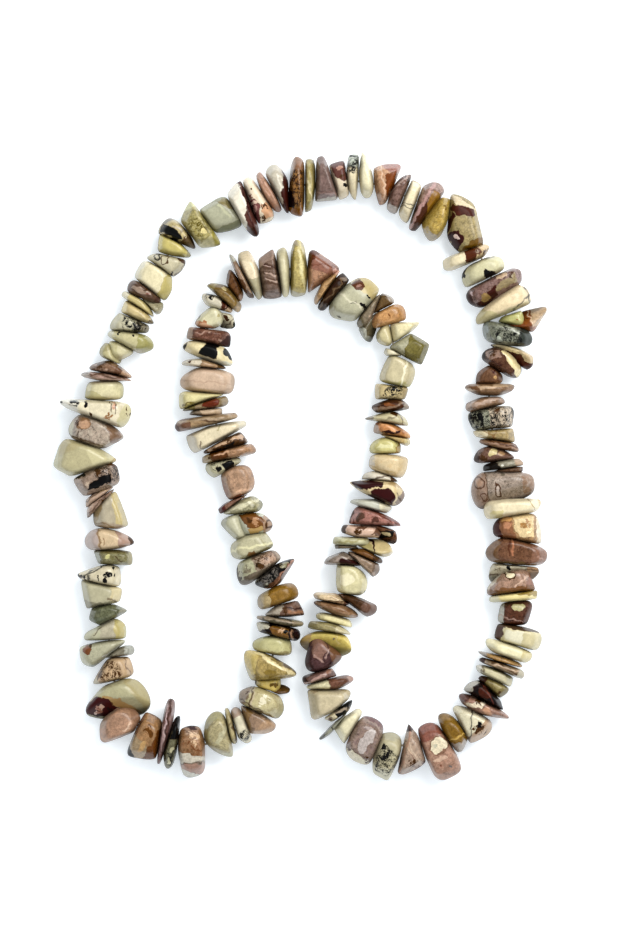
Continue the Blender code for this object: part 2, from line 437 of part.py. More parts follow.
         (506, -6.8), (502.8, -6.5), (500.4, -5), (499.6, -3.2)],
    ]),
    ("sand", [
        [(511.4, 4), (511.8, 5.3), (512.6, 4.6), (514.6, 2.2), (517.1, 0.5), (517.3, -1), (516.8, -4.6),
         (514.6, -5.4), (512, -5.3), (511.1, -4.2)],
        [(515, 3.6), (516, 6.7), (517, 7.6), (520.4, 7.3), (521, 5), (521.6, 0), (521.4, -3.6),
         (520.4, -4.5), (519.4, -3.4)],
        [(516.9, 1.2), (517.9, 1.5), (519.9, -3.8), (519.8, -5.6), (518.6, -6.2), (517.4, -5.6),
         (517.1, -3)],
    ]),
    ("cream", [
        [(521.6, 5.8), (522.4, 6.3), (523.6, 5.4), (524.8, 2.8), (526.9, -1), (526.6, -2.8), (525.2, -4.3),
         (523, -4.5), (521.6, -4), (521.4, 0)],
        [(526, 3), (526.6, 4.9), (528, 4.2), (530, 4), (530.6, 1), (530.4, -1.6), (529, -4.6), (528.3, -4),
         (526.7, -1), (525.2, 1.8)],
        [(529, 5.6), (531, 6.2), (534, 7), (536.4, 7), (535.2, 0), (534.6, -3), (532.6, -3.2), (531, -2.6),
         (530.2, 0)],
    ]),
    ("cream", [
        [(536.4, 6.6), (537.9, 8), (538.6, 6.6), (539.4, 4), (540.8, 0), (540, -2.4), (537, -3),
         (535, -2.6), (534.9, -1)],
        [(540, 2.6), (542, 3.2), (544.2, 4), (544.3, 0), (543.6, -5.2), (542, -5.8), (540.2, -5.4),
         (539.9, -2)],
        [(543.9, 4), (544.8, 5.6), (546.6, 6.2), (549, 5.2), (549.9, 3.5), (549.7, 0), (548, -3.8),
         (546.2, -6.2), (545.2, -6.2), (544.6, -4), (543.9, 0)],
    ]),
    ("sand", [
        [(550.6, 2.8), (552, 3.3), (554.4, 2.6), (556.8, 0.5), (557.8, -2.6), (558.4, -3.8), (556, -4.4),
         (552, -5.1), (549.6, -5.2), (549, -3.6), (549.3, -0.4)],
        [(552.6, 3.6), (553.2, 4.6), (555.2, 4.2), (556.4, 3), (558.4, -1), (559.2, -3.4), (558.2, -3.4),
         (556, 0)],
        [(555.6, 4.4), (557.4, 4.2), (559.2, 1), (560, -2.6), (559.2, -3.2), (557.4, 0)],
    ]),
    ("mauve", [
        [(558, 4.2), (559.6, 5.6), (562.6, 6.6), (563.4, 5), (564.9, 0), (566, -2), (565.4, -4.2),
         (563.6, -4.4), (561.2, -5), (560, -4), (558.8, 0)],
        [(563.2, 7.2), (565, 10.4), (565.8, 11.4), (567.8, 10.8), (570.8, 9.4), (571.7, 8), (569.8, 0),
         (568.2, -2.6), (566.8, -4.4), (565.8, -4.2), (564.9, -1)],
        [(571.8, 6.6), (573.4, 7.8), (575.2, 7.4), (577, 6), (577.8, 3.6), (577, 0), (575.8, -3),
         (574.4, -5), (572.8, -6.1), (571.6, -4.8), (569.6, -1)],
    ]),
    ("cream", [
        [(577.4, 6.4), (578.9, 10.4), (579.4, 10.9), (580.2, 9.6), (581.8, 0), (582.4, -5.4), (581.6, -6.8),
         (579, -7.3), (576.6, -6.6), (575, -4.6), (576.4, -1)],
        [(581.2, 4.9), (584.8, 5.2), (585.6, 4), (587.2, 0), (587.4, -2), (586.8, -3.8), (583.4, -4.3),
         (582.6, -3), (581.5, 1)],
        [(585.8, 6.4), (586.2, 7.3), (587.2, 6), (588.7, 0), (589, -3), (588.8, -5.2), (588, -5.2),
         (586.3, 0)],
    ]),
    ("mauve", [
        [(587.6, 5.8), (589, 5.9), (590, 4.6), (591.6, 2), (591.6, 0), (590.9, -2.6), (590.2, -4.8),
         (589, -5.1), (588.3, 0)],
        [(591.4, 3.4), (592, 4.7), (593.4, 5.1), (595.4, 4.4), (595.4, 0), (593.6, -1), (591.3, -0.4)],
        [(592.2, 0.6), (595.8, 3.6), (596.6, 2), (597.2, 0), (597, -2.2), (595.6, -3), (593.4, -1.2)],
        [(596, 3.4), (596.6, 4.6), (597.8, 4.8), (598.8, 4.2), (600.4, -1), (600.9, -4.6), (600, -6.6),
         (598.4, -7.2), (596.4, -5.4), (595.2, -3.2), (596.6, 0)],
    ]),
    ("sand", [
        [(598.7, 4.4), (599.4, 5), (601, 5.1), (603.6, 4), (603.7, 0), (603.8, -3.8), (602.8, -4.4),
         (601.6, -4.2), (599.8, 0)],
        [(603.6, 3.8), (606.6, 4.2), (607.4, 3), (606.6, -1), (605.4, -3.6), (604.6, -4.7), (604, -4.2),
         (603.4, -1)],
        [(606.6, 4.6), (607.6, 5.6), (608.8, 5.2), (608.9, 2), (608.7, -1), (607.4, -3), (606, -4),
         (605.6, -2.6), (606.6, 1)],
    ]),
    ("cream", [
        [(608.7, 4.4), (609.4, 5.1), (611.4, 5.2), (612.4, 4.2), (612.4, 0), (611.6, -3), (610.8, -4),
         (609.6, -4), (608.6, 0)],
        [(608.4, 0.8), (609.4, 0.8), (610.2, -4.6), (609, -5.3), (607.4, -5.1), (606.6, -3.8)],
        [(612.4, 4.2), (614, 4.9), (617, 4.6), (617.8, 3.4), (618.1, -1), (618.2, -2.8), (614.6, -5),
         (612.4, -5.3), (610.4, -4.9), (612.1, -1)],
        [(617.6, 4.4), (619.4, 3.4), (620.4, 2.4), (621.7, -0.5), (623.2, -3.8), (622.8, -4.6), (620, -5.1),
         (618, -4.4), (616.6, -3.8), (617.9, -1)],
    ]),
    ("olive", [
        [(621, 2.6), (622.4, 3.6), (624.2, 4.8), (625.2, 4.4), (625.9, 1), (625.9, -1.5), (625.4, -4.6),
         (624.2, -4.4), (621.4, 0)],
        [(623.4, 5), (625, 5.9), (627, 6.3), (628.4, 5.8), (629.1, 4), (629.5, 0), (628.8, -2.4),
         (628, -4.1), (626.2, -4.2), (625.6, 0)],
        [(629.2, 3), (630.4, 4), (633, 5.6), (634, 5.9), (634.5, 3), (634.7, -1), (635.2, -5),
         (634.8, -7.3), (633.4, -7.4), (630, -6), (628.3, -4.6), (629.2, -1)],
    ]),
    ("olive", [
        [(634.5, 2.8), (637, 3), (640, 3.6), (641.6, 2.8), (642.3, -1), (643.2, -4.8), (641.6, -5.2),
         (639.8, -4), (635.2, -4.2), (634.4, -1)],
        [(641.7, 3.6), (642.9, 4.8), (645, 5.9), (646.3, 5.8), (646.3, 0), (646.7, -5.4), (646.4, -7.6),
         (645.4, -8.6), (644.4, -7.8), (643.4, -5.8), (642, -0.6)],
    ]),
    ("cream", [
        [(646.3, 5.6), (647.4, 6.2), (648.8, 6), (649.6, 4), (650.3, 0), (651.3, -4.6), (650.6, -6),
         (648, -6.2), (646.6, -5.6), (646.2, 0)],
        [(650.1, 5.4), (651, 6.4), (651.8, 6.2), (652.4, 4), (653.4, 0), (653.5, -4), (652.6, -4.8),
         (651.4, -4), (650.1, 0)],
        [(652.5, 5), (653.6, 6.6), (655.4, 6.9), (656.5, 5), (657.1, 2), (657.1, 0), (656.2, -3.4),
         (655.4, -6), (654.2, -6), (653.6, -4.4), (653, 0)],
    ]),
]


class Strand:
    """The thread's line as a closed curve that can be read at any length along it."""

    def __init__(self, route):
        self.points = smooth_loop([Vector(point) for point in route])
        self.lengths = [0.0]
        for first, second in zip(self.points, self.points[1:]):
            self.lengths.append(self.lengths[-1] + (second - first).length)
        self.length = self.lengths[-1]

    def at(self, along):
        along %= self.length
        index = next(i for i, reached in enumerate(self.lengths) if reached > along) - 1
        span = self.lengths[index + 1] - self.lengths[index]
        return self.points[index].lerp(self.points[index + 1], (along - self.lengths[index]) / span)

    def place(self, along, across):
        """The point this far along the line and this far out to its left."""
        heading = (self.at(along + TANGENT_REACH) - self.at(along - TANGENT_REACH)).normalized()
        return self.at(along) + Vector((-heading.y, heading.x)) * across - CENTRE


def smooth_loop(corners):
    """A closed smooth curve through the corners, its first point repeated at the end."""
    count = len(corners)
    points = []
    for i in range(count):
        before, start, end, after = (corners[(i + k - 1) % count] for k in range(4))
        for step in range(STEPS):
            t = step / STEPS
            bend = (before * 2 - start * 5 + end * 4 - after) * t**2
            twist = (start * 3 - before - end * 3 + after) * t**3
            points.append((start * 2 + (end - before) * t + bend + twist) / 2)
    return points + points[:1]


def hull(points):
    return [points[i] for i in convex_hull_2d(points)]


def outward_sides(outline):
    """Each side's outward direction and how far out along it the side lies."""
    sides = []
    for first, second in zip(outline, outline[1:] + outline[:1]):
        run = second - first
        if run.length > 1e-6:
            outward = Vector((run.y, -run.x)).normalized()
            sides.append((outward, outward.dot(first)))
    return sides


def trimmed(outline, outward, reach):
    """The part of the outline no further out than this."""
    kept = []
    for first, second in zip(outline, outline[1:] + outline[:1]):
        before = outward.dot(first) - reach
        after = outward.dot(second) - reach
        if before <= 0:
            kept.append(first)
        if before * after < 0:
            kept.append(first.lerp(second, before / (before - after)))
    return kept


def part_outlines(first, second):
    """Both outlines, trimmed to either side of the line that parts them with the least cut away."""
    best = None
    for near, far, order in ((first, second, 1), (second, first, -1)):
        for outward, reach in outward_sides(near):
            space = min(outward.dot(corner) for corner in far) - reach
            if best is None or space > best[0]:
                best = (space, outward * order, (reach + space / 2) * order)
    space, outward, line = best
    if space >= RUN_GAP:
        return first, second
    half = RUN_GAP / 2
    return trimmed(first, outward, line - half), trimmed(second, -outward, -line - half)


def area_of(outline):
    return abs(sum(first.cross(second) for first, second in zip(outline, outline[1:] + outline[:1]))) / 2


def fewer_corners(outline):
    """The outline without the corners that matter least."""
    outline = list(outline)
    most = CORNERS_SMALL if area_of(outline) < SMALL_AREA else CORNERS_LARGE
    while len(outline) > most:
        after = outline[1:] + outline[:1]
        losses = [area_of([outline[i - 1], outline[i], after[i]]) for i in range(len(outline))]
        outline.pop(losses.index(min(losses)))
    return outline


def chip_heights(corners, index):
    """The lowest and highest level of a chip, larger chips resting on the ground."""
    across = max(v for _, v in corners) - min(v for _, v in corners)
    height = min(max(across * HEIGHT_SHARE, LEAST_HEIGHT), MOST_HEIGHT)
    height *= 0.94 + 0.06 * math.sin(index * 2.4)
    low = max(0.0, THREAD_HEIGHT - height / 2)
    return low, low + height


def ring(outline, share, height, turn):
    """Corners of a level drawn in towards the middle, every other one where there are enough."""
    middle = sum(outline, Vector((0.0, 0.0))) / len(outline)
    if len(outline) > 4:
        outline = outline[turn if len(outline) % 2 == 0 else 0 :: 2]
    return [middle.lerp(corner, share).to_3d() + Vector((0.0, 0.0, height)) for corner in outline]


def chip_mesh(name, outline, low, high):
    """A faceted stone, widest at mid height, with a flat top and a flat foot."""
    points = [corner.to_3d() + Vector((0.0, 0.0, (low + high) / 2)) for corner in outline]
    points += ring(outline, TOP_SHARE, high, 0)
    points += ring(outline, FOOT_SHARE, low, 1)
    shape = bmesh.new()
    for point in points:
        shape.verts.new(point * MM)
    bmesh.ops.convex_hull(shape, input=shape.verts)
    loose = [vertex for vertex in shape.verts if not vertex.link_faces]
    bmesh.ops.delete(shape, geom=loose, context="VERTS")
    bmesh.ops.recalc_face_normals(shape, faces=shape.faces)
    mesh = bpy.data.meshes.new(name)
    shape.to_mesh(mesh)
    shape.free()
    return mesh


def thread_curve(name, strand, radius, resolution):
    """A round tube all the way along the thread's line."""
    curve = bpy.data.curves.new(name, "CURVE")
    curve.dimensions = "3D"
    curve.twist_mode = "Z_UP"
    curve.bevel_depth = radius * MM
    curve.bevel_resolution = resolution
    spline = curve.splines.new("POLY")
    spline.points.add(THREAD_POINTS - 1)
    for i, point in enumerate(spline.points):
        place = strand.place(i * strand.length / THREAD_POINTS, 0.0)
        point.co = (place.x * MM, place.y * MM, THREAD_HEIGHT * MM, 1.0)
    spline.use_cyclic_u = True
    return bpy.data.objects.new(name, curve)


def hole_cutter(strand, collection):
    """The hole's tube as a mesh that can be cut away."""
    tube = thread_curve("hole_line", strand, HOLE_RADIUS, 0)
    collection.objects.link(tube)
    bpy.context.view_layer.update()
    mesh = bpy.data.meshes.new_from_object(tube)
    shape = bmesh.new()
    shape.from_mesh(mesh)
    bmesh.ops.remove_doubles(shape, verts=shape.verts, dist=1e-6)
    bmesh.ops.recalc_face_normals(shape, faces=shape.faces)
    shape.to_mesh(mesh)
    shape.free()
    cutter = bpy.data.objects.new("hole", mesh)
    cutter.matrix_world = tube.matrix_world.copy()
    collection.objects.link(cutter)
    bpy.data.objects.remove(tube)
    return cutter


def add_boolean(target, operation, other):
    modifier = target.modifiers.new(other.name, "BOOLEAN")
    modifier.operation = operation
    modifier.solver = "EXACT"
    modifier.object = other


def new_material(name, colour, roughness):
    material = bpy.data.materials.new(name)
    material.use_nodes = True
    shader = material.node_tree.nodes["Principled BSDF"]
    shader.inputs["Base Color"].default_value = (*colour, 1.0)
    shader.inputs["Roughness"].default_value = roughness
    shader.inputs["Metallic"].default_value = 0.0
    return material


def new_collection(name):
    collection = bpy.data.collections.new(name)
    bpy.context.scene.collection.children.link(collection)
    return collection


def chip_outlines(strand):
    """Every chip's outline seen from above, with runs parted from each other."""
    outlines = []
    for number, (_, chips) in enumerate(RUNS):
        for corners in chips:
            widened = [strand.place(s + side, v) for s, v in corners for side in (-PRESS, PRESS)]
            outlines.append([number, hull(widened)])
    for i, first in enumerate(outlines):
        for second in outlines[i + 1 :]:
            if first[0] != second[0]:
                first[1], second[1] = part_outlines(first[1], second[1])
    return [fewer_corners(outline) for _, outline in outlines]


def main():
    for leftover in list(bpy.data.objects):
        bpy.data.objects.remove(leftover)
    necklace = new_collection("chip_necklace")
    cutters = new_collection("cutters")
    strand = Strand(ROUTE)
    hole = hole_cutter(strand, cutters)
    stones = {name: new_material(name, *look) for name, look in STONES.items()}
    outlines = iter(chip_outlines(strand))
    count = 0
    for number, (stone, chips) in enumerate(RUNS, 1):
        run = None
        for corners in chips:
            count += 1
            low, high = chip_heights(corners, count)
            mesh = chip_mesh(f"chip_{count:03}", next(outlines), low, high)
            if run is None:
                run = bpy.data.objects.new(f"run_{number:02}", mesh)
                run.data.materials.append(stones[stone])
                necklace.objects.link(run)
            else:
                chip = bpy.data.objects.new(mesh.name, mesh)
                cutters.objects.link(chip)
                add_boolean(run, "UNION", chip)
        add_boolean(run, "DIFFERENCE", hole)
    for cutter in cutters.objects:
        cutter.hide_render = True
        cutter.display_type = "WIRE"
    thread = thread_curve("thread", strand, THREAD_RADIUS, 2)
    thread.data.materials.append(new_material("thread", THREAD_COLOUR, THREAD_ROUGHNESS))
    necklace.objects.link(thread)


main()
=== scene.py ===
# %% [markdown]
# This lesson makes a strand of picture jasper chips. The real thing is an endless necklace: 184 drilled
# and tumbled chips of stone, pushed close together on one thread and laid on a pale table. The lesson
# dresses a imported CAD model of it. The CAD has the right places and sizes, and the scene gives every
# chip its own polished, marked piece of stone.

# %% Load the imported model
import math
import random

import bmesh
import bpy
import numpy as np
from mathutils import Matrix, Vector, noise
from mathutils.geometry import convex_hull_2d


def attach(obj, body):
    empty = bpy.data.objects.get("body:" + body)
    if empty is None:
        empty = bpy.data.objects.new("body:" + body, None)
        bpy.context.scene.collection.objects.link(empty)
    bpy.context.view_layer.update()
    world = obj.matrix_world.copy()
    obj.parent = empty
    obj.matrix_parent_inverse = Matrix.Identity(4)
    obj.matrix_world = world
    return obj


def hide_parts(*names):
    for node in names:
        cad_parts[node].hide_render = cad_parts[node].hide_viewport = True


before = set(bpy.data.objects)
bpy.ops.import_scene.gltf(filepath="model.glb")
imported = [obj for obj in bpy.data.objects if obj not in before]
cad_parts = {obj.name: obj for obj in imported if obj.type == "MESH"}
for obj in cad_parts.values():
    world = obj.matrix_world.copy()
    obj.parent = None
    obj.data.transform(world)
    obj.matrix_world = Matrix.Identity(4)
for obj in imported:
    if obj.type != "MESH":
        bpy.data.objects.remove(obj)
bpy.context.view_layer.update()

MM = 0.001

# %% [markdown]
# The camera hangs straight above the table, as the viewer's eye does over a strand laid out for sale. A
# long lens from a metre away keeps the outermost chips from leaning outward. The picture covers 232.75
# mm of table from top to bottom at the chips' widest level, and that fixes the lens.

# %% Hang the camera above the table
CAMERA_HEIGHT = 1.0
CHIP_LEVEL = 0.005
SEEN_HEIGHT = 0.23275
PICTURE_CENTRE = (0.002515, 0.0003)
SENSOR = 36.0


def put_in_scene(name, data):
    """A new object with this data, linked to the scene."""
    thing = bpy.data.objects.new(name, data)
    bpy.context.scene.collection.objects.link(thing)
    return thing


eye = bpy.data.cameras.new("eye")
eye.sensor_width = SENSOR
eye.lens = SENSOR * (CAMERA_HEIGHT - CHIP_LEVEL) / SEEN_HEIGHT
camera = put_in_scene("camera", eye)
camera.location = (*PICTURE_CENTRE, CAMERA_HEIGHT)
bpy.context.scene.camera = camera
print("lens", round(eye.lens, 1), "mm")

# %% [markdown]
# Every place on the strand is given by two numbers: how far along the thread, and how far out to its
# left. The thread's own line is a smooth closed curve through a few dozen points, the same ones that
# the CAD model uses, so a chip here lands on its CAD solid. A curve object could be used too, but a
# chip needs the place and the direction at any length along the line, and a few lines of arithmetic
# give both.

# %% The thread's line
CENTRE = Vector((-0.14, -0.3))
STEPS = 24
TANGENT_REACH = 1.5
ROUTE = [
    (0, 70), (15, 71), (27, 67), (40, 60.5), (46, 50), (51, 39), (50.5, 28), (47, 17), (48, 8),
    (51, -4), (54, -16), (53.5, -27), (53, -38), (50, -48.5), (44.5, -58.5), (35, -67), (22, -70),
    (12, -64), (7, -54), (7, -43), (11.5, -31), (14, -19), (19, -7), (22, 5), (23, 16), (24, 27),
    (19, 38), (10, 44.5), (-1, 49), (-12, 47.5), (-21, 41), (-24, 30), (-23.5, 17), (-18.5, 4),
    (-14, -9), (-11, -21), (-7, -32), (-6.5, -43), (-9, -55), (-15, -65), (-26, -70), (-39, -66.5),
    (-46, -56), (-48, -44), (-48, -31), (-48, -18), (-50, -6), (-50.5, 7), (-48.5, 19), (-44, 31),
    (-39, 42), (-33, 53), (-24, 61.5), (-12, 66),
]


class Strand:
    """The thread's line as a closed curve, read at any length along it, in millimetres."""

    def __init__(self, route):
        corners = np.array(route, float)
        before, start, end, after = (np.roll(corners, 1 - k, axis=0)[:, None] for k in range(4))
        t = (np.arange(STEPS) / STEPS)[None, :, None]
        bend = (before * 2 - start * 5 + end * 4 - after) * t**2
        twist = (start * 3 - before - end * 3 + after) * t**3
        points = ((start * 2 + (end - before) * t + bend + twist) / 2).reshape(-1, 2)
        self.points = np.vstack([points, points[:1]])
        self.lengths = np.append(0.0, np.linalg.norm(np.diff(self.points, axis=0), axis=1).cumsum())
        self.length = self.lengths[-1]

    def at(self, along):
        along %= self.length
        return Vector(np.interp(along, self.lengths, self.points[:, i]) for i in range(2))

    def heading(self, along):
        return (self.at(along + TANGENT_REACH) - self.at(along - TANGENT_REACH)).normalized()

    def place(self, along, across):
        heading = self.heading(along)
        return self.at(along) + Vector((-heading.y, heading.x)) * across - CENTRE


strand = Strand(ROUTE)
print("thread", round(strand.length, 1), "mm long")

# %% [markdown]
# Picture jasper is a silica stone coloured by iron and manganese: creams, khakis, mauves and rusts,
# with black fern-like growths, bands and freckles. Each colour is written as the eye sees it on a
# screen, by a name or by three values, and is turned into an amount of light when it is used. A
# polished stone also mirrors a little of the bright tent around it, so that much is taken off first.

# %% The stone's colours
COLOURS = {
    "cream": (0.86, 0.81, 0.68),
    "khaki": (0.62, 0.57, 0.38),
    "rust": (0.55, 0.33, 0.20),
    "brown": (0.36, 0.23, 0.15),
    "umber": (0.28, 0.20, 0.15),
    "black": (0.07, 0.06, 0.05),
}
DEPTH = 0.85
SHEEN = (0.015, 0.017, 0.021)
POLISH_LEVEL = 0.12
LEAST_POLISH = 0.65
LEAST_LIGHT = 0.002
PALE_FROM = 0.6


def screen_values(colour):
    """The three values of a named colour, or the three that are given."""
    return COLOURS.get(colour, colour)


def brightness(colour):
    return sum(screen_values(colour)) / 3


def as_light(value):
    """A screen value as an amount of light, by the curve that screens follow."""
    return ((value + 0.055) / 1.055) ** 2.4


def light_value(colour, share=1.0):
    """A colour as the shader wants it, less what the polish will add to it."""
    linear = [DEPTH * share * as_light(value) for value in screen_values(colour)]
    polish = min(LEAST_POLISH + (1 - LEAST_POLISH) * sum(linear) / 3 / POLISH_LEVEL, 1.0)
    return (*(max(value - sheen * polish, LEAST_LIGHT) for value, sheen in zip(linear, SHEEN)), 1.0)


print(len(COLOURS), "named colours")
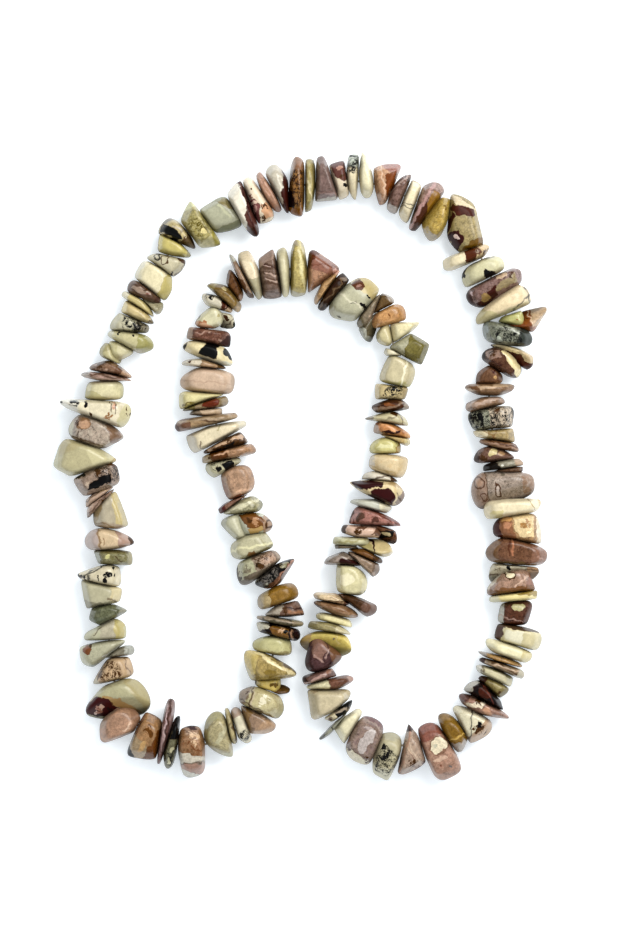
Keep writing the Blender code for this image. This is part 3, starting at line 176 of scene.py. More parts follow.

# %% [markdown]
# Each chip is one row: its main colour, its outline seen from above, and its marks, painted highlights
# and painted shade among them. The rows are grouped in the runs that the CAD model is made of, under the
# run's finish. Corners and marks are given as along and across the thread in millimetres. The marks are
# a side (everything past a line, in the direction of an angle), a line (angle, width and perhaps
# length), a blob (half its length and width), a patch (its corners), a ring (half its length and width,
# and its line's width), a fern or a net (radius), bands (angle and spacing) and dots. A later mark lies
# over an earlier one. A row that needs more space goes on in the indented lines below it. Outlines and
# marks were read off looking straight down on the strand. Colours were judged first, and many were then
# typed again with measured colours of the real chips alongside.

# %% The chips, one row each
# Many marks in these rows are painted light, not the stone's colour: pale lines and blobs along a lit face
# are painted highlights, and dark sides over lower or turned-away faces are painted shade.
ROWS = """
run khaki
.54,.39,.24; -1.3 5.5, -.2 7.3, .8 7, 1.6 5.5, 1 0, -.5 -6, -1.3 -7.6, -4 -6.8, -5.2 -5, -3.3 -.5; dots
  .38,.24,.12; side .5,.37,.29 -.2 3.4 80; net .16,.1,.07 -1.6 -.4 4.4; patch .15,.1,.08 -5 -3 -3.2 -1 -2.2
  -3.2 -3.4 -5.4 -5 -4.6; side .46,.3,.15 -3 -5.2 -95
khaki; 1.9 6.3, 4.1 6.3, 3.3 -1, 1.6 -6.3, -.3 -6.8, .4 -3; dots .54,.49,.31; line .8,.75,.6 1.6 0 -78 .6;
  side .5,.47,.28 3.1 0 -12
.47,.39,.37; 4.7 6.2, 6.2 6.6, 6.8 5.5, 9.1 -3.6, 8.6 -4.8, 3 -4.6, 3.6 -1; dots .4,.32,.31; side .66,.64,.6
  6 -4.1 -90; line .62,.5,.47 6.2 -3 -8 .3
.82,.77,.67; 7.4 4.1, 8.8 4.9, 11.3 5.1, 11.6 0, 12.5 -3, 11.5 -4.3, 9.3 -4.7, 8.2 -.5; patch .36,.24,.23
  7.4 5.4 12 5.4 11.8 .6 10.8 -.4 8.2 2; blob .66,.5,.44 9.8 3.2 .9 .4; fern umber 10.4 1 1.2; blob black 11
  -1.4 .6 .5
run cream
cream; 11.9 6.2, 13 6.7, 14.2 6.4, 14.5 -1, 14.2 -4.7, 12.9 -4, 11.3 0, 11.6 4; side .68,.7,.64 13.2 3.4 90;
  net black 13.1 4 2.6; fern black 13 3.4 1.9
.85,.82,.69; 14.5 7.2, 15.3 7, 17.2 3, 18.6 -1, 18.3 -3.6, 16.5 -4, 15.2 -2.5, 14.3 2; side .78,.75,.6 18 0
  0
.7,.54,.42; 17.5 3.7, 19 5.2, 22.4 6.7, 23.2 6, 22.7 0, 23 -3.5, 21.5 -4.6, 18.6 -.5; side .57,.4,.36 20.8
  4.2 75; patch .44,.25,.14 20.6 3 22.4 4.6 23.2 2 22.4 -2 21 .4; line .82,.7,.6 19.6 2.4 -62 .35; line
  .5,.34,.26 18.9 1 -66 .25
run mauve
.48,.38,.35; 23.2 1.5, 24.2 4, 26 5.5, 26.7 5, 26.4 0, 26.7 -4.8, 25 -5.3, 23.6 -4.5, 23 -1; dots
  .32,.23,.21; patch .26,.19,.17 24.4 5 26.7 4.4 26.6 2 25.8 3.4; line .68,.6,.56 24.2 2 68 .4; side
  .63,.59,.56 25 -3.5 -90
cream; 26.7 4.2, 28 4.5, 29.6 3.8, 30 0, 29.8 -6.2, 28 -6, 26.8 -4.5, 26.4 0; side .68,.6,.5 28 4 90; line
  black 28.2 -1.7 10 .25; line black 28.4 -2.6 8 .3
.53,.42,.38; 29.9 3.5, 31.2 5.4, 33 6.2, 34.9 5.4, 35.6 4, 33.8 -2, 33.2 -6.5, 31.2 -7.5, 30.4 -6.8, 30 0;
  dots .64,.53,.48; patch .5,.36,.12 33 3.6 35.2 3.4 35 -.6 33.4 -5 32.6 0; patch .27,.18,.16 30 -2 32.4 .8
  33.4 -2 33.4 -7.4 31 -7.6 30.2 -5; line .66,.52,.5 31.5 -2 84 .8
run olive
.69,.59,.33; 34.6 3, 37.8 3.9, 39.2 -1, 39.8 -5, 38.9 -7.2, 37.4 -8, 35.3 -7.2, 33.2 -4.8; dots .58,.47,.22;
  side .78,.71,.54 36 3.6 100; side .62,.57,.48 37 -6.3 -90; fern .44,.33,.15 37 1 1.4
.6,.54,.38; 36.4 4.4, 38.9 5.8, 42 5.8, 49.6 1.8, 49.1 -4.6, 40.6 -4.6, 38.8 -1; dots .54,.48,.32; patch
  .78,.72,.6 35 5.6 43.6 5.6 42 3.9 40.6 3 38.2 3.4 36 4; patch .27,.16,.14 38.4 1.4 38.4 2.8 40.4 2.6 42.4
  4.7 43.6 3.6 42 1.8 40.2 .8; patch .23,.14,.12 39 1 40.2 .6 40 -3 41.4 -4.6 39.8 -4.3 39 -2; patch
  .22,.14,.12 41.6 -3.8 43.2 -2.3 45.4 -1.9 46.4 -2.6 48.6 -5 42 -5; blob .86,.76,.72 44.4 -3.4 .8 .45;
  patch .4,.3,.16 47.8 2.6 49.6 2.4 49.6 -2 48.6 -4 47.8 -.6
cream; 49.4 2, 50.9 3, 52.6 .6, 52.5 -8, 51.6 -9.8, 49 -9, 48.5 -6; side .74,.65,.51 50.5 -1.8 90; patch
  .3,.18,.15 49 -3.4 52.4 -4.2 52.6 -1.6 51.4 -2.2 50 -1 49 -1; ring .3,.18,.15 50.7 -.5 .8 .6 .5; blob
  .25,.15,.12 50.7 -.5 .4 .3; fern umber 51.6 .8 1.4; side .6,.5,.4 51.8 1.4 20
run cream
.76,.74,.6; 53 2, 54.2 4.2, 55.5 4.7, 57.3 4.2, 57.9 3, 57.7 -2, 57.3 -6.9, 55 -7, 53.4 -5.5, 52.8 -2; side
  black 53.6 -5 -145; patch black 55.4 -.6 57.4 -1.8 58 -1.4 58 1.8 56.6 .8; blob black 54.2 -6.2 1 .5; line
  black 53 -2 84 .35
.5,.4,.38; 58.2 5.3, 59.5 7.3, 61 7, 62.4 5.8, 62.5 1, 64.8 -5, 61.5 -8, 58.7 -7.8, 57.8 -6, 57.9 0; dots
  .34,.24,.22; patch .54,.48,.36 59.8 5.6 61.6 5 62 0 60.4 -.6; patch .7,.6,.5 58 3.6 59.6 3.4 59.4 .4 58.2
  1; patch .24,.15,.13 60 .2 62.6 -.6 63.6 -3 64.8 -5.6 62.8 -6.8 61 -1.8; blob .54,.44,.28 62 -4 1 1.4;
  side .22,.15,.15 60 -6.9 -90; blob .74,.64,.64 59.2 -6.3 .7 .35; fern umber 59.6 4.6 1.6
.83,.76,.62; 62.3 4.8, 63.5 6.5, 65.5 7, 66.7 6.3, 67.5 1.5, 70.5 -6.8, 68.8 -7.7, 66.5 -7.2, 64.6 -5.3,
  62.9 -1; side .74,.7,.56 66.4 3 12; line black 64 6.2 12 .35; line black 65.4 5.8 -60 .3; side .7,.66,.5
  67.6 -2 -30
run slate
.72,.71,.48; 67.6 3.8, 70.3 4.7, 70.9 3.2, 69.6 -2, 68.3 -1; side .6,.58,.38 70 2 0; blob rust 69.9 2.6 .2
  .2
.7,.6,.48; 67.5 9.8, 68.1 10.4, 72.2 6.6, 71.3 3.5, 70.4 -1.2, 69.6 -1.2, 67.6 4.8; side .48,.28,.18 69.6
  6.2 -95; line .82,.72,.6 69 5.9 12 .4; side .54,.38,.3 71 7 20; fern umber 69.4 4.6 1.4
.52,.53,.47; 71.2 4.4, 72.4 6.2, 73.6 6.8, 75 6, 75.8 3, 76 -2.5, 75 -5, 72 -6, 70 -5.6, 69.4 -4.2, 70.6
  -.5; dots .17,.19,.18; side .22,.24,.23 73.4 3 75; net black 73.4 1 3.6; side .52,.55,.54 73 -4.8 -90;
  line .7,.71,.66 71.8 1.6 62 .4 4; blob .62,.64,.58 74.4 -1.6 .8 .7
run umber
.3,.18,.16; 76 4.2, 77 7.4, 78.8 8, 79.9 6.8, 79.5 4.5, 76.9 -1, 76.2 -3.5, 75.4 -1; side .82,.75,.58 76.9 1
  170; patch .7,.62,.48 76.4 8 78.6 8.2 78.6 6.8 77.4 4.6 76.6 3
.36,.26,.22; 79.2 4.6, 80.6 5.7, 82.3 5.2, 82.9 2.5, 82.2 -1.5, 81 -4.6, 79.2 -5, 77.2 -3.6, 76.5 -1.2, 77.6
  2.3; dots .2,.13,.11; patch .82,.76,.58 76.9 -.4 77 1.6 79.6 4.9 81.2 5.8 82.2 5.2 80.8 3 79 .6 77.6 -.9;
  patch .52,.42,.37 76.8 -1.2 79 -.6 80.6 -2.4 79.6 -4.2 78 -4; fern umber 78.4 -2.6 1.8; side .16,.11,.09
  79 -4.2 -90
.44,.32,.25; 81.9 -.4, 83 1.6, 84.3 2.1, 85.8 1, 87.2 -3.9, 85 -4.5, 83.2 -3.8, 81.6 -2.4; side .32,.2,.15
  82.4 1 130; blob .7,.56,.38 84 .2 .4 .4; side .62,.48,.36 85.6 .2 40; fern .26,.15,.11 83 -1 1.2
run tan
.5,.39,.3; 84.1 5.4, 86.2 5.2, 88.9 1.5, 89.1 -3, 88.4 -6.5, 87.5 -5.8, 85.6 0; line .7,.6,.49 86.3 .6 -64
  .9; blob .42,.3,.22 88 -4 .5 1.4
.53,.42,.34; 88.5 2.3, 89.4 4.1, 91.2 4, 91.8 1, 92.8 -4, 92 -5.8, 90.8 -5.4, 89.3 -1.5; line .68,.59,.53
  90.2 0 -72 .9
.7,.64,.56; 91.6 5.3, 93.2 6.2, 96 5.7, 97.8 5, 97.5 0, 96.8 -4.2, 94.2 -5.4, 92.5 -4.8, 91.7 0; side
  .54,.54,.47 94 -.4 -90; net black 94.6 .4 7; fern black 94.2 -3 3.4; fern umber 93 2 2; side black 94.6
  5.8 86
run khaki
.63,.55,.39; 98 5.2, 100.5 5.3, 101.9 4.9, 100 0, 98.6 -4, 97.6 -4.8, 96.7 -4.5, 97.3 0; side .82,.77,.64 98
  -1.4 -95; line .48,.35,.22 98.6 -1 40 .3; line .46,.33,.22 98.4 .4 -30 .25
.46,.34,.26; 102.1 4.7, 103.8 5.4, 104.5 4.8, 103.2 1.8, 101.5 -1.6, 100 -3.8, 99.2 -3.2, 99.8 -.5; line
  .6,.48,.4 101.6 .6 64 .5; line .26,.17,.13 100.8 .4 62 .3
.42,.32,.28; 105.6 3.7, 106.1 2.9, 105.5 -.5, 104.9 -4.8, 104 -6.2, 102.9 -6, 101.6 -4.4, 101.2 -1.8, 102.6
  1.2; blob .74,.68,.5 103 -1.2 1.1 1.3; fern umber 103.4 -3.6 2.6; side .24,.17,.16 103.6 -5 -90; blob
  .6,.48,.36 103.8 .8 .7 .8
.56,.54,.47; 105.7 4.2, 107.1 5.6, 108.3 5.3, 107.7 -.5, 107 -4.6, 105.6 -4.2, 105.1 -1; dots .3,.28,.24;
  side .6,.5,.4 107.2 3.2 90; side .14,.14,.12 106 -.6 -80; blob .84,.84,.78 106.6 .4 .5 .4
run mauve
.4,.31,.25; 108.3 5.3, 109.6 5, 109 1, 107.7 -2, 107.4 .5; dots .24,.17,.13; side .24,.17,.13 107.6 -2 -90
.6,.54,.49; 109.9 5.6, 111 6.9, 112.8 7.2, 114.8 6.7, 116.3 5.2, 115.2 -1, 116.3 -7.4, 114.2 -8.8, 112 -9,
  109 -7.9, 107.2 -5.5, 107.4 -2.6; side .52,.42,.35 112 4 90; dots .63,.57,.52; side .56,.47,.41 111.6 -4.9
  -95; ring .28,.2,.17 112.4 -2.3 1.7 .8 .4; blob .7,.64,.6 112.4 -2.3 1.2 .45; ring .34,.24,.2 109.4 -6.4
  1.5 1.1 .35; blob .66,.54,.46 109.4 -6.4 .9 .6; ring .36,.26,.22 113.2 -6.2 1.1 .8 .3; line umber 112 -4.9
  -6 .25; blob .42,.39,.35 108.8 -.4 .6 .5
.88,.83,.7; 117.2 6.8, 118.4 7.3, 119.7 6, 120.5 4.6, 119.3 -2, 119.9 -6, 118 -7.3, 115.6 -6.9, 114.4 -5.5,
  115.2 -1, 116.6 4.6; side .76,.67,.53 117 6.4 100; line .5,.4,.28 116.8 4.2 20 .2; patch .8,.75,.56 117.4
  -3 119.6 -3 119.6 -6 117 -6.4
run brown
.68,.54,.39; 120.2 4.8, 122 5.8, 125 6.1, 127 5.8, 125.6 2, 125.2 -5.6, 122.8 -6.1, 120.8 -5.6, 119 -3.2,
  118.9 0; patch .82,.73,.56 119.2 -.6 119.6 3.8 121 4.5 125 4.1 125.2 .8 122.6 -.8; fern .6,.44,.26 122.2 2
  2; fern .98,.9,.72 123.6 2.6 1.2; side .5,.34,.25 123.4 -.9 -75; side .82,.77,.68 123 4.9 82; blob
  .68,.48,.36 121.8 -2.4 .8 1; side .26,.15,.12 122.6 -4 -85; blob .76,.58,.38 119.8 -2.2 .8 1.1
.43,.31,.25; 127.2 5.5, 128 7.2, 129.5 7.7, 131.2 7, 132 5.2, 132 0, 132.1 -6, 130.5 -7.8, 128.5 -7.7, 126.8
  -6.5, 125.2 -4.5, 124.9 -2; side .48,.35,.29 128 3.6 90; side .44,.33,.25 129 -4.6 -90; line .66,.44,.33
  127.6 -1.5 2 .5 4.6; line .28,.17,.12 127.6 -2.2 2 .3 4.6; line .64,.5,.44 129.6 5.8 50 .3 1.6; side
  .4,.32,.22 131.4 0 0
.74,.71,.61; 132.2 5.2, 134 6, 135.8 5.2, 136.2 1, 136.8 -5, 136.4 -6.6, 133.3 -6.6, 132.1 -5.6; dots
  .58,.53,.43; side .67,.53,.39 133.8 2.8 90; blob black 132.9 -1.7 .55 .6; fern umber 133.4 -4.6 1.4; line
  umber 133.6 1.4 -80 .25
.62,.5,.43; 136.2 4.6, 138.6 5.2, 138.8 1, 140.2 -6, 139.2 -7, 137.4 -6.6, 134.2 -3, 132.9 2.8; side
  .5,.34,.27 135 3 80; side .72,.68,.61 134.6 -3.4 -130; patch .44,.31,.22 137 5 138.4 5 139.4 -2 140 -6.4
  138.4 -6.8 137.8 -3; ring umber 134.9 -1.4 1 1.2 .35; blob cream 134.9 -1.4 .8 1; line .78,.66,.58 136 1.4
  -50 .45 4
run tan
.85,.79,.56; 138.4 5.4, 139.4 5.7, 140.6 5.2, 140.9 2, 141.2 -2, 141.9 -5.6, 140.8 -6.4, 140 -5.8, 138.7 1;
  side .56,.48,.26 139.3 2 175; side .8,.78,.66 140.6 -4 -60
.35,.24,.21; 140.9 3.5, 141.9 4.6, 146.3 3.7, 147.2 1, 147.3 -3.3, 145.6 -3.8, 142 -3, 141 0; blob .7,.67,.5
  142.4 .8 1 1.7; side .66,.65,.6 144 -2.6 -90; line .62,.5,.45 145.8 1.4 80 .2; side .24,.16,.14 146.2 1 10
run cream
.77,.73,.58; 147.1 5, 147.5 7.2, 148.6 8.3, 150.6 8.2, 152 7, 151.9 4, 151.5 0, 152.2 -3, 149.8 -3.6, 147.6
  -3.2, 147 0; patch .83,.81,.71 148 3 151.4 3.4 151.4 0 150 -1.4 148.4 -1; side .28,.2,.18 149.5 -1.8 -90;
  side .3,.24,.2 147.7 4 185; blob black 151.8 6.2 .4 .4
.88,.85,.7; 152.2 6.4, 153.6 7, 154.9 5.8, 155.3 1, 155.4 -2, 154.4 -4.5, 153 -5.3, 152.1 -4.8, 151.4 0;
  side .78,.73,.55 153.4 4 90
.66,.52,.34; 155.1 4, 155.7 5.6, 156.2 5.3, 156.9 1, 157.2 -4, 156.7 -6, 156.2 -5.6, 155.2 0; side
  .46,.34,.22 156.6 0 5; side .58,.54,.5 156.4 -4 -90
run mauve
.5,.43,.35; 156.6 6, 157.3 7, 158.6 6.8, 159 5, 158.8 0, 159.2 -4.4, 158 -5, 157.3 -4, 156.7 1; bands umber
  80 .9; line .7,.6,.5 157.9 -1 -82 .4; side .62,.58,.48 158 5 90; side .22,.15,.11 158.2 -3.8 -80
.77,.74,.61; 159 4.4, 160.4 5, 161.8 4.8, 161.5 0, 162.2 -3.5, 161 -4.9, 160 -5, 159.4 -3.8, 158.6 0; side
  .62,.6,.44 159.3 2 180; line umber 160.6 -3.2 25 .25; side .78,.77,.72 160.4 -3.6 -80
.48,.43,.28; 161.7 4.7, 162.6 5, 164.6 3.9, 164.5 1, 163.6 -3.2, 162 -2.8, 161.1 0; blob .58,.53,.36 162 2
  .8 1.6; side .24,.17,.12 162.5 -1.4 -80; fern umber 163.8 2.6 1.6
run umber
.15,.1,.09; 164.4 3.6, 166.6 6.8, 167.2 4, 167.1 1, 167.4 -2.5, 169 -4.3, 166.5 -4.8, 164.6 -4, 163.4 -2.6,
  163.8 .5; blob .26,.16,.13 165.6 0 1 2; side .6,.58,.53 166 -3 -90; line .4,.22,.2 166 2.4 60 .3
.58,.44,.38; 166.5 7.8, 166.9 8.8, 167.7 7.6, 170.5 2, 171.3 -2.2, 170.9 -3.6, 170 -4.5, 168.8 -3.6, 166.7
  .5; blob .72,.55,.44 168.4 3.2 1 1.2; side .36,.25,.23 168.6 -2.2 -95; patch .84,.78,.68 167 1.8 169 1.6
  170.8 -1.6 170 -2 168.2 0; fern umber 168 .2 1.6; fern umber 170 3.4 1.4
.82,.79,.68; 169.6 5.2, 170.6 7, 172.4 7.5, 175 6.8, 177 5.6, 175.5 3.6, 175.4 -2.6, 174 -3.4, 172.6 -3.2,
  170.6 0; side .66,.56,.46 172.8 4.2 90; fern umber 172.6 4.6 2.8; fern black 171.8 4 1.4; line black 175.4
  4.6 40 .35
run honey
.5,.38,.14; 175.2 4.2, 176.9 5.4, 178.4 6.5, 179.4 6, 179.8 3, 179.9 -1, 179 -4, 177.8 -4.3, 176.2 -3.4,
  175.2 0; side .6,.56,.52 177.5 4.1 75; line .8,.66,.36 176.8 2.8 -10 .3
.62,.48,.41; 179.8 8, 180.2 10.3, 182 11.1, 184.6 10.7, 185.4 9, 186.3 0, 185.8 -3, 183.6 -3.9, 181.4 -3.4,
  180 -1.5; dots .66,.53,.46; side .5,.32,.28 183 -.2 -88; ring .48,.36,.3 182.3 2 2.3 2.2 .3; blob
  .84,.79,.68 182.3 2 2.1 2; blob .7,.68,.6 183 1.8 .5 .4; blob .74,.62,.54 183 5.2 1.8 .6; blob .38,.36,.36
  181.9 8.2 .35 .45; blob .44,.28,.24 183.4 6.9 .35 .35
.66,.57,.5; 186 5, 187.5 6, 191.2 7.3, 192 6.6, 189 -3.5, 188 -5, 186 -1; side .4,.3,.28 187 5 120; side
  .34,.25,.23 191.2 2 -10; line .74,.66,.58 188 2.6 -70 .5; line .42,.3,.26 188.9 3 -80 .3; line .8,.7,.6
  189.8 -.6 -70 .4 6; fern umber 189.2 4.2 1.8; line .72,.56,.48 190.4 2 64 .5; side .26,.2,.2 188.4 -3.4
  -90
run cream
.7,.67,.55; 193.1 7, 193.5 8.8, 195.8 7.6, 196.5 5, 197 1, 196.9 -2.4, 194.6 -3.3, 192.6 -3.3, 191 -2, 190.9
  .5, 192 4; side .76,.74,.64 194 5.4 90; side .62,.6,.5 193 -1.6 -90; net black 194 4 3.4; fern black 194.6
  2 2.6; fern black 195 .6 1.8
.56,.48,.44; 196.7 5.8, 198.4 7, 201 6.9, 202.4 5.5, 204 1, 204.3 -3.5, 202.4 -4.8, 198 -4.9, 196.3 -3.2,
  196.4 0; dots .48,.4,.4; blob .69,.65,.63 199.8 1 1.6 3.4; side .8,.76,.66 200 4.9 92; fern umber 198 5.2
  1.8; fern umber 202 5.6 1.6; fern umber 203.6 3.6 1.2; side .42,.31,.31 200.6 -3.9 -90; side .44,.33,.32
  203.7 0 5
.86,.83,.7; 202.9 5, 205 4.5, 207.4 3.8, 207.5 0, 207.2 -3.4, 206 -4.2, 204.6 -3.4, 203.8 0
run sand
.52,.52,.46; 206.2 5, 206.9 8.5, 207.3 8.4, 207.9 3, 208.1 -1, 207.4 -1.5; line black 206.8 4.2 0 .4; side
  .3,.3,.28 207.2 6.5 80
black; 208.1 3.2, 209 4.2, 209.9 4.6, 210.2 1, 210.6 -2.4, 210.2 -3.8, 209.3 -3.3, 207.9 -1.2; line
  .66,.6,.52 209.6 0 78 .5 4; blob .62,.54,.46 208.4 -2.4 .4 1.2; side cream 209.2 1.6 90; fern brown 209
  3.4 1
.76,.71,.59; 210.3 6.5, 210.9 7.3, 215.4 5.8, 216.5 5.6, 215 0, 213.6 -4, 212.4 -4.3, 210.9 -3, 209.9 1;
  side .66,.6,.46 212.6 -3 -75; side .62,.55,.44 215.8 2.4 -8
run umber
.44,.31,.26; 216.6 5.8, 217.6 5.6, 218 0, 218 -4.6, 217 -6.1, 215.6 -6, 214.9 -4, 214.7 -1; dots .3,.2,.18;
  side .8,.77,.63 216.4 .2 92; line umber 215.2 2 75 .5; side .6,.46,.4 216.3 -4.6 -90
.4,.31,.29; 217.6 5.9, 218.6 6.5, 219.4 6, 219.9 3.4, 220.6 -1, 219.2 -2, 218.1 -2.2, 217.8 0; side
  .24,.18,.18 218.6 5.4 90; line .66,.54,.5 219.2 1 -72 .6; blob .56,.42,.36 219.6 -.6 .5 .8
.31,.23,.24; 219.9 3.4, 220.6 4.9, 222 5.5, 224 4.8, 227.8 4.2, 228.2 3, 225.8 -1, 223.6 -3.8, 221.8 -2.8,
  220.2 0; side .42,.3,.24 223.6 -1 -75; patch .5,.38,.34 222.4 1.6 223.8 3.6 226 4.2 228.2 3.8 227.4 1
  225.4 -.4; line .66,.54,.5 223.2 2.2 50 .35 3; line .66,.54,.5 224.4 -.2 -22 .35 3
.84,.76,.42; 224.2 5.3, 226.2 7, 227.6 6.2, 229.6 2.4, 230.9 -1.6, 230.6 -3.4, 228.8 -5.2, 226 -6.1, 223.8
  -5.2, 223 -3.8; dots .76,.66,.36; side .72,.6,.38 226.5 4.4 90; blob .48,.42,.36 228 -1.5 .4 .3; line
  .88,.8,.56 229 -2 15 .3 4; side .7,.6,.32 231 -1 0
run olive
.6,.56,.4; 228.6 5.4, 229.6 5.9, 230.8 5.4, 231.4 3, 232.3 0, 231.6 -4, 230.2 -5.6, 229.6 -5.2, 230.2 0;
  dots .5,.45,.32; side .78,.74,.6 231.2 -1 -90
.9,.86,.66; 231.3 3.5, 232 4.8, 233 4.5, 234 2, 234.6 -3, 233.4 -4.6, 232.2 -4.4, 231.7 0; side .8,.76,.6
  232.6 3.6 90
.56,.44,.34; 234.1 5, 234.6 6.6, 235.4 6.3, 236.6 3, 237.4 -1, 237 -4, 236 -5, 235 -3.8, 234 0; bands
  .42,.3,.22 -75 .8; side .34,.24,.2 234.4 3.6 170
run umber
.7,.58,.45; 235.8 6.4, 236.6 7.5, 237.6 6.9, 239.2 2.4, 239.3 .4, 238.2 -1.8, 237.1 -1, 236.3 3; bands
  .84,.76,.62 -70 .8; side .5,.34,.26 238.6 -.4 -70; line umber 237 2 -70 .3
.3,.22,.18; 238.4 1.6, 239.4 1.8, 240.2 0, 240.2 -4, 239.9 -8, 239 -8.8, 237.8 -8.4, 236.3 -6, 237.3 -2;
  side .4,.3,.26 238.6 -5 -90; line .5,.36,.28 238.4 0 60 .4
.8,.77,.61; 239.4 1.8, 240 2.4, 244 3.6, 247 3.8, 248.3 3, 247.5 0, 246 -3.3, 244.2 -4.6, 241.6 -4.8, 240.1
  -3; side .7,.68,.52 240.4 0 175; blob .87,.84,.71 243.6 .6 1.6 1.8; blob umber 241.6 -4.4 .3 .2
run mauve
.5,.45,.41; 245.2 4, 246 6.4, 247 7, 248.3 6.2, 250.2 2.8, 249.4 0, 247.2 -3.6, 246.2 -3.8; patch .2,.14,.11
  246.8 3 248.6 2.6 248.4 -2.6 246 -4; line .6,.54,.5 249 1.6 -64 .5
.54,.46,.39; 249.2 1, 250.3 1.6, 250.8 .3, 249.8 -3, 248.8 -6.4, 247.2 -7.1, 246 -6.6, 245 -5.2, 246.6 -3.6;
  side .44,.37,.32 246.6 -5.6 -80; line .68,.58,.5 249.4 -.6 56 .4
.42,.29,.19; 250.6 1.6, 252 1, 252.4 -1.2, 251.4 -3.6, 250.8 -6.6, 249.6 -7.4, 249 -6.9, 249.6 -3; side
  umber 250 -5 -90
run olive
.42,.37,.31; 249.9 4.4, 250.6 4.9, 251.3 5.2, 252.4 1, 251.9 -.8, 250.8 0
.71,.7,.57; 251.1 5.2, 252 5.9, 253 5.6, 253.8 3, 255 -1, 255.2 -2.2, 253.4 -3, 252 0; line .58,.55,.38
  253.8 0 -66 .5
.77,.7,.52; 252.7 1.2, 253.9 .4, 256.1 -5, 256.3 -6.4, 255.4 -8.2, 253.6 -9.5, 252 -9.1, 251 -7.4, 251.3 -4;
  patch .62,.58,.4 252.6 1.2 254.4 .8 254.4 -2.4 252 -5; patch .18,.13,.1 252 -5.2 254.8 -2.6 255.6 -3 253.6
  -4.6; side .8,.76,.66 252 -8.6 -100
run brick
.78,.66,.58; 254.2 4.2, 254.9 4.8, 256 4.4, 257.6 -1, 258.5 -3, 257.6 -5, 256 -4.6, 254.4 -.6; side
  .26,.2,.18 255 3.6 95; patch .4,.29,.24 256 1.6 257.4 .4 257.8 -1.2 256.6 -.4; patch .42,.31,.26 256.6
  -2.6 258.6 -3.4 258.4 -5 257 -5; fern umber 255.8 .6 1.6; blob .94,.9,.84 255.2 -4 1 1
.46,.31,.23; 256.6 .8, 258.2 .6, 259.4 -4, 259.9 -7.9, 258.4 -9.2, 255.9 -9.2, 255.4 -6.5, 255.6 -3; side
  .4,.3,.26 257 -3.6 100; patch .12,.08,.06 256.4 -4.6 258.4 -4 259.8 -7.8 258 -8 256.8 -6; blob .8,.74,.58
  258.2 -6.2 .6 1.1; fern umber 256.6 -8 1.4
.62,.43,.39; 256.4 3.4, 257.6 3.9, 260.8 3.8, 262 2.8, 262.4 -2, 262.2 -7, 261.6 -8.6, 260.9 -8.4, 259 -3.6;
  blob .34,.25,.22 259.4 1.8 1.3 1; blob .34,.23,.21 259.8 -2.4 1 1.1; line .7,.5,.46 258.4 -1 -62 .5; side
  .3,.2,.18 258.5 3.7 88; fern .34,.18,.16 257.6 2.6 1.2; fern .38,.21,.18 260.6 -6 1.6; side .42,.24,.21
  261.6 -1 0
run olive
.72,.72,.66; 261.2 4.8, 262 5.5, 263 4.6, 264.4 1, 265.3 -1, 265 -4.2, 264 -4.7, 262.4 -3.4, 262.2 0; side
  .82,.79,.68 263.8 -1.6 -50
.82,.74,.57; 264.9 2.2, 266.1 6, 266.9 7.4, 267.6 6.2, 269.2 2, 270.2 0, 270.5 -2.4, 269.9 -4.8, 268.4 -6.6,
  267.3 -6.8, 265.2 -5.6, 264.6 -4.2; patch .2,.12,.08 266.2 2.8 266.2 5.4 266.9 7.2 267.6 5.6 269.2 2 269.7
  -.6 268.6 -.8 267.3 1.2; patch .22,.13,.1 265 2 265 -1.5 264.7 -4.8 267 -4.4 268.2 -2.8 268.6 -2 268 -.4
  266.6 1.4; side .5,.43,.38 265.6 -5.2 -100; side .66,.56,.4 269.6 -3 -10; line umber 267.2 -5.6 50 .35 2.4
run cream
.8,.77,.7; 268.3 4.7, 269.4 4.8, 270.7 4.2, 271.9 1.8, 271.9 -1, 270.9 -4, 270.2 -4.3, 269.8 0; side umber
  270.9 -2 -75; line umber 269.2 2.6 -60 .6
.83,.75,.6; 271.4 3, 272 3.9, 275.4 4.1, 276.3 2.8, 276.9 -2, 276.7 -5, 274.6 -5.6, 272 -5.2, 271.1 -4.4;
  dots .77,.67,.51; side .74,.7,.63 274 2.9 90; line .7,.6,.42 272.4 0 84 .25; side .68,.6,.46 276.4 -4 -30
.76,.73,.5; 275.8 4, 277 4.7, 278.6 4.4, 280 3, 281 0, 280.8 -2.3, 278.5 -3.2, 277.4 -3.2, 276.5 0; patch
  .82,.8,.62 277.6 3 279 2 279 -1 278 -1.6; side .56,.52,.34 276.6 -1 185; side .6,.5,.26 278 -2 -90
run rust
.72,.62,.42; 280.2 2.8, 281.2 2.6, 281.6 -1, 281 -4.8, 280 -5.3, 279 -4, 278.6 -3.2, 280.3 0; side
  .76,.7,.52 279.6 -4 -80
.7,.48,.31; 281 3.9, 282.6 4.4, 284.4 3.7, 285 2.6, 284.4 0, 283 -3.5, 282.2 -4.8, 280.7 -5.2, 281.1 -1;
  side .54,.32,.19 284 2.4 30; side .6,.5,.42 281.8 2.2 130; patch .2,.1,.08 281.8 2.4 282.5 2 282.6 -2.4
  281.8 -2; line .86,.64,.46 283.4 1 66 .5 5; side .76,.58,.4 281.8 -3.6 -100
.74,.7,.56; 284.2 5, 284.8 6.9, 285.3 6.5, 286.6 3, 287.5 0, 286.8 -2, 286 -3.4, 284 -4.3, 283.5 -3, 284.2
  0; side .5,.46,.4 284.6 4.4 100; blob umber 286.8 -.6 .8 .9; line umber 285.6 -2.3 20 .2; line .44,.4,.32
  285.4 1 -74 .3 4
run tan
.28,.19,.13; 286.6 3.4, 287.4 5, 288.4 5.2, 289.2 3.8, 290.5 .5, 290.6 -2, 289.6 -3.6, 288.6 -4.3, 287.8
